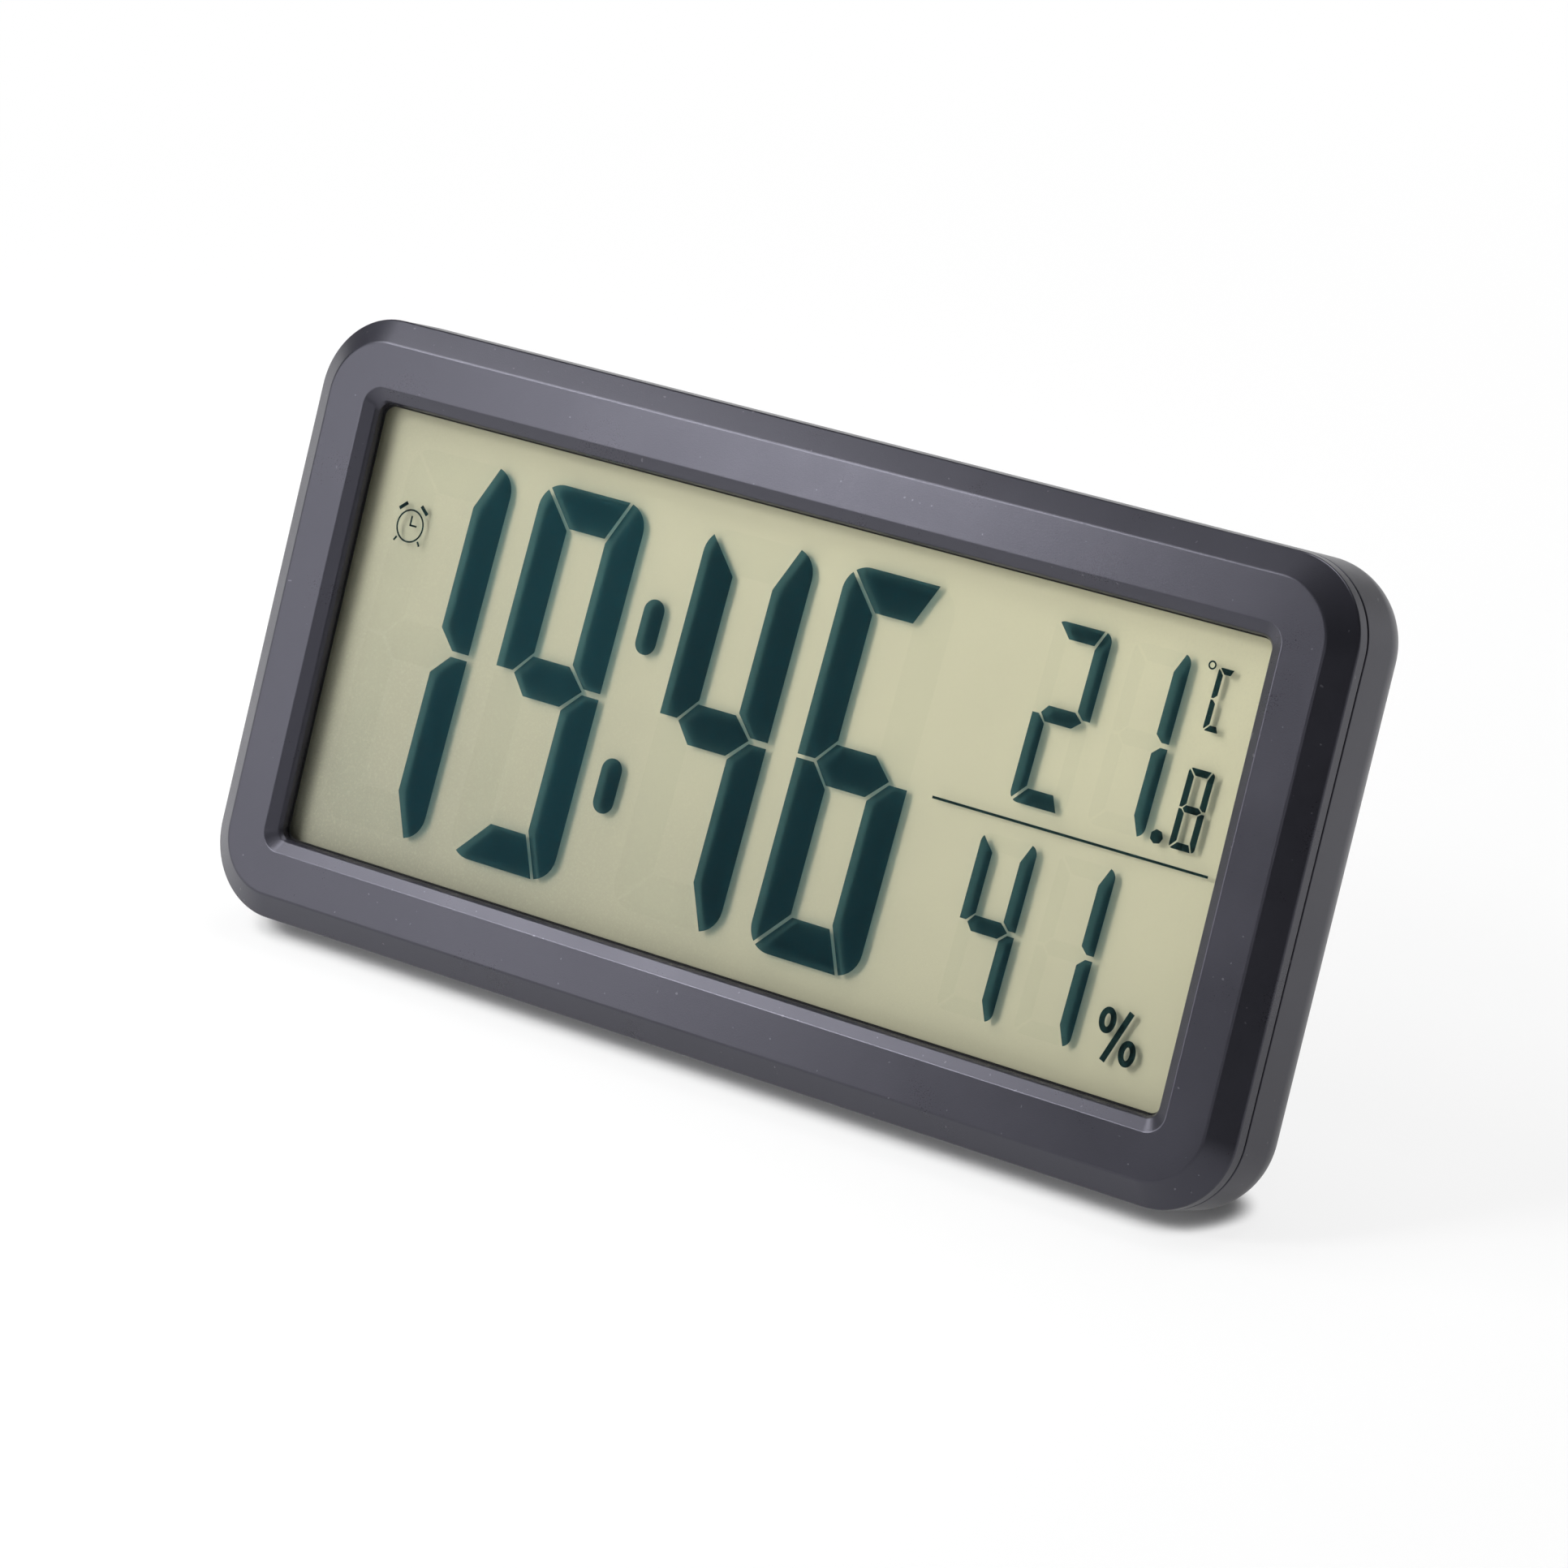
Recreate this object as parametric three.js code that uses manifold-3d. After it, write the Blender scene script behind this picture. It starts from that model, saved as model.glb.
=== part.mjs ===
// Digital desk clock with a large liquid-crystal display, leaning back on a fold-out stand.
// Millimetres, +Z up, the display looks towards -Y, the origin is the middle of the footprint.
// Every piece is drawn in the housing's own frame, where X runs to the right, Y is the depth
// behind the bezel's flat front and Z runs up the face. The whole housing is then leaned back.
import * as THREE from "three";
import { mergeVertices } from "three/addons/utils/BufferGeometryUtils.js";
import Module from "manifold-3d";

// Housing outline
const HOUSING_WIDTH = 165;
const HOUSING_HEIGHT = 83.6;
const CORNER_RADIUS = 11;
const SMALLEST_CORNER = 1;
const WALL = 1.8;
const REAR_EDGE_RADIUS = 7.6;
const LEAN_DEG = 23;
const REST_FLAT_CUT = 0.4;

// Bezel section, from the rim inwards
const CHAMFER_WIDTH = 3.34;
const CHAMFER_DEPTH = 2.47;
const BAND_WIDTH = 6;
const SLOPE_WIDTH = 1.92;
const SLOPE_DEPTH = 1.61;
const LIP_DEPTH = 1;
const SEAT_LAND = 2.7;
const BEZEL_RELIEF = 0.7;

// Tongue and groove between the two shells
const PARTING_DEPTH = 4.55;
const PARTING_GAP = 0.3;
const TONGUE_WIDTH = 0.8;
const TONGUE_LENGTH = 1.7;
const TONGUE_CLEARANCE = 0.25;

// Display stack behind the window
const STACK_GAP = 0.1;
const POLARISER_THICKNESS = 0.2;
const FRONT_GLASS_THICKNESS = 0.7;
const REAR_GLASS_THICKNESS = 1.1;
const REFLECTOR_THICKNESS = 0.2;
const GLASS_OVERLAP = 1.6;
const CONTACT_LEDGE = 2.7;
const POCKET_CLEARANCE = 0.3;
const POCKET_RIB = 1;

// Cells and their bay
const CELL_DIAMETER = 10.5;
const CELL_LENGTH = 44.5;
const CELL_EDGE = 0.7;
const NUB_DIAMETER = 3.8;
const NUB_LENGTH = 0.8;
const CELL_SPACING = 0.5;
const CELL_CLEARANCE = 0.35;
const CELL_DEPTH_CLEARANCE = 0.15;
const BAY_GAP = 0.2;
const BAY_FLOOR = 0.9;
const BAY_WALL = 1.2;
const BAY_TO_POST = 0.75;
const BAY_BOTTOM_MARGIN = 14.8;

// Contacts and springs
const CONTACT_THICKNESS = 0.4;
const CONTACT_GAP = 0.2;
const CONTACT_WIDTH = 8.4;
const CONTACT_HEIGHT = 6.6;
const TAB_WIDTH = 3;
const TAB_LENGTH = 2.5;
const SPRING_LENGTH = 4.6;
const SPRING_WIRE = 0.5;
const SPRING_WIDE_RADIUS = 3.6;
const SPRING_NARROW_RADIUS = 2;
const SPRING_TURNS = 3;

// Battery door
const DOOR_THICKNESS = 1.2;
const DOOR_GAP = 0.25;
const DOOR_LEDGE = 0.8;
const DOOR_CORNER = 1.5;
const DOOR_TONGUE_WIDTH = 2.6;
const DOOR_TONGUE_REACH = 1.8;
const DOOR_TONGUE_THICKNESS = 0.8;
const DOOR_TONGUE_SWING = 1.4;
const LATCH_WIDTH = 9;
const LATCH_LENGTH = 1.8;
const LATCH_THICKNESS = 0.8;
const FINGER_SCOOP_RADIUS = 7;
const FINGER_SCOOP_DEPTH = 1.1;

// Fold-out stand
const STAND_WIDTH = 40;
const STAND_THICKNESS = 2.8;
const STAND_OPEN_DEG = 38;
const STAND_HINGE_HEIGHT = 10;
const STAND_SIDE_GAP = 0.4;
const STAND_FLOOR_GAP = 0.5;
const STAND_SUNK = 0.1;
const STAND_STOP_GAP = 0.12;
const STAND_FOOT_RADIUS = 5;
const STAND_RIM = 2;
const STAND_POCKET_DEPTH = 1.2;
const HINGE_PIN_RADIUS = 1.1;
const HINGE_PIN_LENGTH = 1.5;
const HINGE_CLEARANCE = 0.15;
const RECESS_WALL = 2;
const RECESS_FLOOR = 1.5;
const RECESS_END_GAP = 0.5;
const FINGER_NOTCH_WIDTH = 18;
const FINGER_NOTCH_REACH = 6;
const FINGER_NOTCH_DEPTH = 2.3;

// Circuit board and what is soldered to it
const BOARD_TO_POST = 12.15;
const BOARD_HEIGHT = 30.3;
const BOARD_THICKNESS = 1.2;
const BOARD_STANDOFF = 2.1;
const BOARD_EDGE_GAP = 0.7;
const BOARD_TO_BAY = 3.8;
const SOLDER_GAP = 0.1;
const ZEBRA_HEIGHT = 2.1;
const ZEBRA_MARGIN = 4.5;
const FOAM_HEIGHT = 4;
const FOAM_MARGIN = 6.5;
const FOAM_EDGE = 1;
const CHIP_RADIUS = 6;
const CHIP_HEIGHT = 1.6;
const CHIP_DROP = 24;
const CRYSTAL_RADIUS = 1.05;
const CRYSTAL_LENGTH = 6.2;
const CAPACITOR_RADIUS = 2;
const CAPACITOR_HEIGHT = 5;
const SENSOR_WIDTH = 9;
const SENSOR_HEIGHT = 6;
const SENSOR_DEPTH = 4.2;
const SENSOR_SLOTS = 3;
const SENSOR_SLOT_WIDTH = 0.8;
const THERMISTOR_RADIUS = 1.2;
const THERMISTOR_STANDOFF = 3;
const THERMISTOR_LEG_RADIUS = 0.25;

// Keys and the push switches behind them
const KEY_NAMES = ["mode", "up", "down", "alarm"];
const KEY_LEFT_MARGIN = 26;
const KEY_RIGHT_MARGIN = 9;
const KEY_DROP = 15.3;
const KEY_WIDTH = 13;
const KEY_HEIGHT = 6;
const KEY_PROUD = 0.9;
const KEY_EDGE = 0.5;
const KEY_GAP = 0.25;
const KEY_FLANGE = 1;
const KEY_FLANGE_THICKNESS = 1;
const KEY_STEM_RADIUS = 1.7;
const KEY_TRAVEL = 0.5;
const SWITCH_SIZE = 6;
const SWITCH_HEIGHT = 3.5;
const SWITCH_FLOOR = 0.9;
const PLUNGER_RADIUS = 1.6;
const PLUNGER_LENGTH = 3.2;
const PLUNGER_GAP = 0.15;

// Sounder and the openings in the back
const PIEZO_RADIUS = 10;
const PIEZO_THICKNESS = 0.3;
const CERAMIC_RADIUS = 7;
const CERAMIC_THICKNESS = 0.25;
const PIEZO_SEAT_HEIGHT = 1.5;
const PIEZO_SEAT_WIDTH = 1.5;
const PIEZO_TO_STAND = 23.6;
const PIEZO_DROP = 14;
const SOUND_HOLE_RADIUS = 0.9;
const SOUND_HOLE_RING = 4.6;
const SOUND_HOLES = 6;
const VENT_WIDTH = 14;
const VENT_HEIGHT = 1.4;
const VENT_PITCH = 2.8;
const VENTS = 5;

// Screws and the posts that take them
const CASE_POST_INSET = 5.55;
const CASE_POST_DROP = 15.8;
const CASE_POST_RADIUS = 2.8;
const CASE_BOSS_RADIUS = 2.6;
const CASE_SEAT_THICKNESS = 1.8;
const CASE_BOSS_LENGTH = 6;
const CASE_SCREW = { head: 2.1, headHeight: 1.5, shank: 0.95, length: 6.2 };
const SMALL_BOSS_RADIUS = 2.2;
const SMALL_BOSS_INSET = 4.4;
const SMALL_SCREW = { head: 1.8, headHeight: 1.2, shank: 0.8, length: 4.6 };
const RETAINER_SCREW = { ...SMALL_SCREW, length: 3.2 };
const SCREW_CLEARANCE = 0.15;
const WELL_CLEARANCE = 0.3;
const PILOT_FLOOR = 1.1;
const SCREWS_PER_ROW = 3;
const BOARD_SCREW_MARGIN = 8;
const RETAINER_MARGIN = 16.8;
const RETAINER_HEIGHT = 8.6;
const RETAINER_THICKNESS = 1.2;
const RETAINER_SCREW_MARGIN = 6;

// Wires
const LEAD_RADIUS = 0.6;
const LEAD_SIDES = 8;
const LEAD_STEP = 3;
const LEAD_END = 1;
const LEAD_BEND = 3;
const LEAD_SPACING = 1.8;
const LEAD_RISES = [0.3, 0.5];
const PAD_INSET = 2;
const PAD_SPACING = 2.4;
const PAD_EDGE = 2.4;

// Facets
const CORNER_STEPS = 8;
const EDGE_STEPS = 6;
const SMALL_STEPS = 4;
const ROUND_SIDES = 24;
const SMALL_SIDES = 12;
const CURL_STEPS = 8;
const CURL_SIDES = 5;
const THROUGH = 5;
const ROOT_OVERLAP = 0.4;

// Places worked out from the sizes above
const lean = THREE.MathUtils.degToRad(LEAN_DEG);
const standOpen = THREE.MathUtils.degToRad(STAND_OPEN_DEG);
const halfWidth = HOUSING_WIDTH / 2;
const halfHeight = HOUSING_HEIGHT / 2;
const bandInset = CHAMFER_WIDTH + BAND_WIDTH;
const windowInset = bandInset + SLOPE_WIDTH;
const seatDepth = SLOPE_DEPTH + LIP_DEPTH;
const reliefDepth = seatDepth - BEZEL_RELIEF;
const bossRoot = reliefDepth - ROOT_OVERLAP;
const partingFront = PARTING_DEPTH - PARTING_GAP / 2;
const partingBack = PARTING_DEPTH + PARTING_GAP / 2;
const tongueEnd = partingFront + TONGUE_LENGTH;

const polariserFront = seatDepth + STACK_GAP;
const polariserBack = polariserFront + POLARISER_THICKNESS;
const frontGlassFront = polariserBack + STACK_GAP;
const frontGlassBack = frontGlassFront + FRONT_GLASS_THICKNESS;
const rearGlassFront = frontGlassBack + STACK_GAP;
const rearGlassBack = rearGlassFront + REAR_GLASS_THICKNESS;
const reflectorFront = rearGlassBack + STACK_GAP;
const displayBack = reflectorFront + REFLECTOR_THICKNESS;
const glassHalfWidth = halfWidth - windowInset + GLASS_OVERLAP;
const glassHalfHeight = halfHeight - windowInset + GLASS_OVERLAP;
const ledgeTop = glassHalfHeight + CONTACT_LEDGE;

const bayFloorFront = displayBack + BAY_GAP;
const bayFloorBack = bayFloorFront + BAY_FLOOR;
const cellDepth = bayFloorBack + CELL_DEPTH_CLEARANCE + CELL_DIAMETER / 2;
const doorFront = cellDepth + CELL_DIAMETER / 2 + CELL_DEPTH_CLEARANCE;
const housingDepth = doorFront + DOOR_THICKNESS;
const rearWallFront = housingDepth - WALL;
const sideDepth = housingDepth - REAR_EDGE_RADIUS;

const casePostX = halfWidth - CASE_POST_INSET;
const casePostZ = halfHeight - CASE_POST_DROP;
const caseBossEnd = reliefDepth + CASE_BOSS_LENGTH;
const caseSeatFront = caseBossEnd + PARTING_GAP;
const caseSeatBack = caseSeatFront + CASE_SEAT_THICKNESS;

const bayRight = casePostX - CASE_POST_RADIUS - BAY_TO_POST - BAY_WALL;
const bayWidth = 2 * CELL_DIAMETER + CELL_SPACING + 2 * CELL_CLEARANCE;
const bayLeft = bayRight - bayWidth;
const bayMiddle = bayRight - bayWidth / 2;
const bayBottom = -halfHeight + BAY_BOTTOM_MARGIN;
const bayLength = CELL_LENGTH + SPRING_LENGTH + 2 * CONTACT_THICKNESS + 5 * CONTACT_GAP;
const bayTop = bayBottom + bayLength;
const bayCentreZ = (bayTop + bayBottom) / 2;
const cellInset = CELL_CLEARANCE + CELL_DIAMETER / 2;
const cellX = [bayLeft + cellInset, bayRight - cellInset];
const lowerContactTop = bayBottom + CONTACT_GAP + CONTACT_THICKNESS;
const upperContactBottom = bayTop - CONTACT_GAP - CONTACT_THICKNESS;

const boardFront = displayBack + BOARD_STANDOFF;
const boardBack = boardFront + BOARD_THICKNESS;
const boardTop = halfHeight - WALL - BOARD_EDGE_GAP;
const boardBottom = boardTop - BOARD_HEIGHT;
const boardRight = bayLeft - BAY_WALL - BOARD_TO_BAY;
const boardLeft = -casePostX + CASE_POST_RADIUS + BOARD_TO_POST;
const solderDepth = boardBack + SOLDER_GAP;
const smallBossZ = halfHeight - SMALL_BOSS_INSET;

const keyRow = boardTop - KEY_DROP;
const keyFlangeBack = rearWallFront - KEY_GAP;
const keyFlangeFront = keyFlangeBack - KEY_FLANGE_THICKNESS;
const switchBack = solderDepth + SWITCH_HEIGHT;
const plungerFront = solderDepth + SWITCH_FLOOR + KEY_TRAVEL + PLUNGER_GAP;
const plungerBack = plungerFront + PLUNGER_LENGTH;

const standHalf = STAND_THICKNESS / 2;
const hingeDepth = housingDepth - STAND_SUNK - standHalf;
const recessFloor = hingeDepth - standHalf - STAND_FLOOR_GAP;
const recessHalfWidth = STAND_WIDTH / 2 + STAND_SIDE_GAP;
const recessTop = STAND_HINGE_HEIGHT + standHalf + STAND_SIDE_GAP;

const piezoX = -recessHalfWidth - RECESS_WALL - PIEZO_TO_STAND;
const piezoBack = rearWallFront - PIEZO_SEAT_HEIGHT - SOLDER_GAP;
const piezoFront = piezoBack - PIEZO_THICKNESS;
const sensorX = boardLeft + SENSOR_WIDTH;
const sensorZ = boardBottom + SENSOR_HEIGHT;

// Height of a point of the housing above or below the face's middle once the housing leans.
function leanedHeight(depth, up) {
  return up * Math.cos(lean) - depth * Math.sin(lean);
}

// The lower rear edge is a round of REAR_EDGE_RADIUS, cut flat where it stands on the table.
const edgeCentreHeight = leanedHeight(sideDepth, -halfHeight + REAR_EDGE_RADIUS);
const tableHeight = edgeCentreHeight - REAR_EDGE_RADIUS + REST_FLAT_CUT;
const hingeAboveTable = leanedHeight(hingeDepth, STAND_HINGE_HEIGHT) - tableHeight;
const legTilt = standOpen - lean;

const wasm = await Module();
wasm.setup();

// Closed geometry to a solid that can be joined and cut, and back again.
function toSolid(geometry) {
  const bare = geometry.clone();
  bare.deleteAttribute("normal");
  bare.deleteAttribute("uv");
  const merged = mergeVertices(bare);
  return new wasm.Manifold(
    new wasm.Mesh({
      numProp: 3,
      vertProperties: merged.attributes.position.array,
      triVerts: new Uint32Array(merged.index.array),
    }),
  );
}

function toGeometry(solid) {
  const mesh = solid.getMesh();
  const geometry = new THREE.BufferGeometry();
  geometry.setAttribute("position", new THREE.BufferAttribute(mesh.vertProperties, mesh.numProp));
  geometry.setIndex(new THREE.BufferAttribute(mesh.triVerts, 1));
  const faceted = geometry.toNonIndexed();
  faceted.computeVertexNormals();
  return faceted;
}

function join(...solids) {
  return solids.reduce((whole, next) => whole.add(next));
}

function cut(base, ...tools) {
  return tools.reduce((rest, tool) => rest.subtract(tool), base);
}

// Box between two corners.
function block(low, high) {
  const size = high.map((value, axis) => value - low[axis]);
  const geometry = new THREE.BoxGeometry(...size);
  geometry.translate(...low.map((value, axis) => value + size[axis] / 2));
  return toSolid(geometry);
}

// Rounded rectangle drawn in the face plane.
function roundedShape(width, height, radius, x = 0, z = 0) {
  const reachX = width / 2 - radius;
  const reachZ = height / 2 - radius;
  const quarter = Math.PI / 2;
  const shape = new THREE.Shape();
  shape.absarc(x + reachX, z - reachZ, radius, -quarter, 0);
  shape.absarc(x + reachX, z + reachZ, radius, 0, quarter);
  shape.absarc(x - reachX, z + reachZ, radius, quarter, 2 * quarter);
  shape.absarc(x - reachX, z - reachZ, radius, 2 * quarter, 3 * quarter);
  return shape;
}

// Flat plate: a shape of the face plane carried from one depth to another.
function plate(shape, front, back) {
  const geometry = new THREE.ExtrudeGeometry(shape, {
    depth: back - front,
    bevelEnabled: false,
    curveSegments: SMALL_STEPS,
  });
  geometry.rotateX(Math.PI / 2);
  geometry.translate(0, back, 0);
  return toSolid(geometry);
}

// Turned piece whose axis runs along the depth. The profile holds [radius, depth] pairs.
function turned(profile, x = 0, z = 0, sides = ROUND_SIDES) {
  const points = profile.map(([radius, depth]) => new THREE.Vector2(radius, depth));
  const geometry = new THREE.LatheGeometry(points, sides);
  geometry.translate(x, 0, z);
  return toSolid(geometry);
}

function rod(radius, front, back, x = 0, z = 0, sides = SMALL_SIDES) {
  return turned([[0, front], [radius, front], [radius, back], [0, back]], x, z, sides);
}

// One ring of points round a rounded rectangle at one depth.
function roundedRing(width, height, radius, depth, steps = SMALL_STEPS) {
  const corners = [[1, -1, -90], [1, 1, 0], [-1, 1, 90], [-1, -1, 180]];
  const ring = [];
  for (const [sideX, sideZ, startDeg] of corners) {
    for (let step = 0; step <= steps; step++) {
      const angle = THREE.MathUtils.degToRad(startDeg + (90 * step) / steps);
      const x = sideX * (width / 2 - radius) + radius * Math.cos(angle);
      const z = sideZ * (height / 2 - radius) + radius * Math.sin(angle);
      ring.push(new THREE.Vector3(x, depth, z));
    }
  }
  return ring;
}

// Ring that runs a given distance inside the housing's outline.
function housingRing(inset, depth) {
  const width = HOUSING_WIDTH - 2 * inset;
  const height = HOUSING_HEIGHT - 2 * inset;
  const radius = Math.max(CORNER_RADIUS - inset, SMALLEST_CORNER);
  return roundedRing(width, height, radius, depth, CORNER_STEPS);
}

// Skin over rings that run from front to back. A looped skin goes back to its first ring,
// like a frame; otherwise both ends are capped.
function skin(rings, looped) {
  const count = rings[0].length;
  const faces = [];
  const bands = looped ? rings.length : rings.length - 1;
  for (let band = 0; band < bands; band++) {
    const here = band * count;
    const there = ((band + 1) % rings.length) * count;
    for (let step = 0; step < count; step++) {
      const next = (step + 1) % count;
      faces.push(here + step, there + step, here + next);
      faces.push(here + next, there + step, there + next);
    }
  }
  if (!looped) {
    const last = (rings.length - 1) * count;
    for (let step = 1; step < count - 1; step++) {
      faces.push(0, step, step + 1);
      faces.push(last, last + step + 1, last + step);
    }
  }
  const geometry = new THREE.BufferGeometry().setFromPoints(rings.flat());
  geometry.setIndex(faces);
  return toSolid(geometry);
}

// Wire along a list of points, round in section, with flat square ends.
function wire(points, radius, sides) {
  const direction = points.map((point, index) => {
    const before = points[Math.max(index - 1, 0)];
    const after = points[Math.min(index + 1, points.length - 1)];
    return after.clone().sub(before).normalize();
  });
  let across = new THREE.Vector3(0, 0, 1).cross(direction[0]);
  if (across.length() < SPRING_WIRE) {
    across = new THREE.Vector3(1, 0, 0).cross(direction[0]);
  }
  const rings = points.map((point, index) => {
    across = across.clone().projectOnPlane(direction[index]).normalize();
    const other = direction[index].clone().cross(across);
    return Array.from({ length: sides }, (_, side) => {
      const angle = (-2 * Math.PI * side) / sides;
      const ring = point.clone().addScaledVector(across, radius * Math.cos(angle));
      return ring.addScaledVector(other, radius * Math.sin(angle));
    });
  });
  return skin(rings, false);
}

// Lead through hand-placed points: straight at both ends, an even step between.
function lead(route) {
  const curve = new THREE.CatmullRomCurve3(route.map((point) => new THREE.Vector3(...point)));
  const steps = Math.ceil(curve.getLength() / LEAD_STEP) * 2;
  return wire(curve.getSpacedPoints(steps), LEAD_RADIUS, LEAD_SIDES);
}

// Front bezel: one section carried round the housing's outline, with the display's pocket
// and the screw bosses behind it.
function frontBezel() {
  const landInset = windowInset - SEAT_LAND;
  const section = [
    [CHAMFER_WIDTH, 0],
    [0, CHAMFER_DEPTH],
    [0, partingFront],
    [WALL - TONGUE_WIDTH, partingFront],
    [WALL - TONGUE_WIDTH, tongueEnd],
    [WALL, tongueEnd],
    [WALL, CHAMFER_DEPTH],
    [CHAMFER_WIDTH, reliefDepth],
    [landInset, reliefDepth],
    [landInset, seatDepth],
    [windowInset, seatDepth],
    [windowInset, SLOPE_DEPTH],
    [bandInset, 0],
  ];
  const frame = skin(section.map(([inset, depth]) => housingRing(inset, depth)), true);
  const pocketWidth = 2 * (glassHalfWidth + POCKET_CLEARANCE);
  const pocketHeight = ledgeTop + glassHalfHeight + 2 * POCKET_CLEARANCE;
  const pocketZ = (ledgeTop - glassHalfHeight) / 2;
  const outer = [pocketWidth + 2 * POCKET_RIB, pocketHeight + 2 * POCKET_RIB];
  const rib = cut(
    plate(roundedShape(...outer, SMALLEST_CORNER, 0, pocketZ), bossRoot, rearGlassBack),
    plate(roundedShape(pocketWidth, pocketHeight, SMALLEST_CORNER, 0, pocketZ), 0, displayBack),
  );
  const bosses = [];
  const pilots = [];
  const pilotFront = reliefDepth + PILOT_FLOOR;
  for (const [x, z] of casePosts()) {
    bosses.push(rod(CASE_BOSS_RADIUS, bossRoot, caseBossEnd, x, z));
    pilots.push(rod(CASE_SCREW.shank + SCREW_CLEARANCE, pilotFront, caseBossEnd + THROUGH, x, z));
  }
  const rows = [[boardScrewX(), smallBossZ, boardFront], [retainerScrewX(), -smallBossZ, displayBack]];
  for (const [places, z, seat] of rows) {
    for (const x of places) {
      bosses.push(rod(SMALL_BOSS_RADIUS, bossRoot, seat - STACK_GAP, x, z));
      pilots.push(rod(SMALL_SCREW.shank + SCREW_CLEARANCE, pilotFront, seat + THROUGH, x, z));
    }
  }
  return cut(join(frame, rib, ...bosses), ...pilots);
}

function casePosts() {
  const signs = [[-1, 1], [1, 1], [-1, -1], [1, -1]];
  return signs.map(([sideX, sideZ]) => [sideX * casePostX, sideZ * casePostZ]);
}

// Even row of places between two ends.
function evenRow(first, last, count) {
  return Array.from({ length: count }, (_, index) => first + ((last - first) * index) / (count - 1));
}

function boardScrewX() {
  return evenRow(boardLeft + BOARD_SCREW_MARGIN, boardRight - BOARD_SCREW_MARGIN, SCREWS_PER_ROW);
}

function retainerScrewX() {
  const reach = glassHalfWidth - RETAINER_MARGIN - RETAINER_SCREW_MARGIN;
  return evenRow(-reach, reach, SCREWS_PER_ROW);
}

function keyPlaces() {
  return evenRow(boardLeft + KEY_LEFT_MARGIN, boardRight - KEY_RIGHT_MARGIN, KEY_NAMES.length);
}

// Rounded cup of the rear cover: straight sides, then a quarter round to the flat back.
function rearCup(inset, front) {
  const radius = REAR_EDGE_RADIUS - inset;
  const rings = [housingRing(inset, front)];
  for (let step = 0; step <= EDGE_STEPS; step++) {
    const angle = ((Math.PI / 2) * step) / EDGE_STEPS;
    const ringInset = REAR_EDGE_RADIUS - radius * Math.cos(angle);
    rings.push(housingRing(ringInset, sideDepth + radius * Math.sin(angle)));
  }
  return skin(rings, false);
}

// Rear cover: a moulded shell with the battery bay, the stand's recess, the key holes, the
// vents, the sound holes and the screw posts. Its lower rear edge is cut flat to stand on.
function rearCover() {
  const outside = rearCup(0, partingBack);
  const inside = rearCup(WALL, partingBack - THROUGH);
  const lip = WALL - TONGUE_WIDTH - TONGUE_CLEARANCE;
  const groove = skin(
    [housingRing(lip, partingBack - THROUGH), housingRing(lip, tongueEnd + PARTING_GAP)],
    false,
  );
  const bay = block(
    [bayLeft - BAY_WALL, bayFloorFront, bayBottom - BAY_WALL],
    [bayRight + BAY_WALL, housingDepth, bayTop + BAY_WALL],
  );
  const recess = block(
    [-recessHalfWidth - RECESS_WALL, recessFloor - RECESS_FLOOR, recessBottom() - RECESS_WALL],
    [recessHalfWidth + RECESS_WALL, housingDepth, recessTop + RECESS_WALL],
  );
  const posts = casePosts().map(([x, z]) => rod(CASE_POST_RADIUS, caseSeatFront, housingDepth, x, z));
  const seatRing = turned(
    [
      [PIEZO_RADIUS - PIEZO_SEAT_WIDTH, rearWallFront - PIEZO_SEAT_HEIGHT],
      [PIEZO_RADIUS, rearWallFront - PIEZO_SEAT_HEIGHT],
      [PIEZO_RADIUS, rearWallFront + ROOT_OVERLAP],
      [PIEZO_RADIUS - PIEZO_SEAT_WIDTH, rearWallFront + ROOT_OVERLAP],
      [PIEZO_RADIUS - PIEZO_SEAT_WIDTH, rearWallFront - PIEZO_SEAT_HEIGHT],
    ],
    piezoX,
    -PIEZO_DROP,
  );
  const added = join(bay, recess, ...posts, seatRing).intersect(outside);
  const shell = cut(outside, inside, groove);
  const cuts = [...bayCuts(), ...standCuts(), ...backHoles(), tableCut()];
  return cut(join(shell, added), ...cuts);
}

function recessBottom() {
  const footReach = (hingeAboveTable + standHalf * Math.sin(legTilt)) / Math.cos(legTilt);
  return STAND_HINGE_HEIGHT - footReach - RECESS_END_GAP;
}

// Everything below the table top, seen from the leaning housing.
function tableCut() {
  const geometry = new THREE.BoxGeometry(2 * HOUSING_WIDTH, 2 * HOUSING_WIDTH, HOUSING_HEIGHT);
  geometry.translate(0, 0, tableHeight - halfHeight);
  geometry.rotateX(lean);
  return toSolid(geometry);
}

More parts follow.
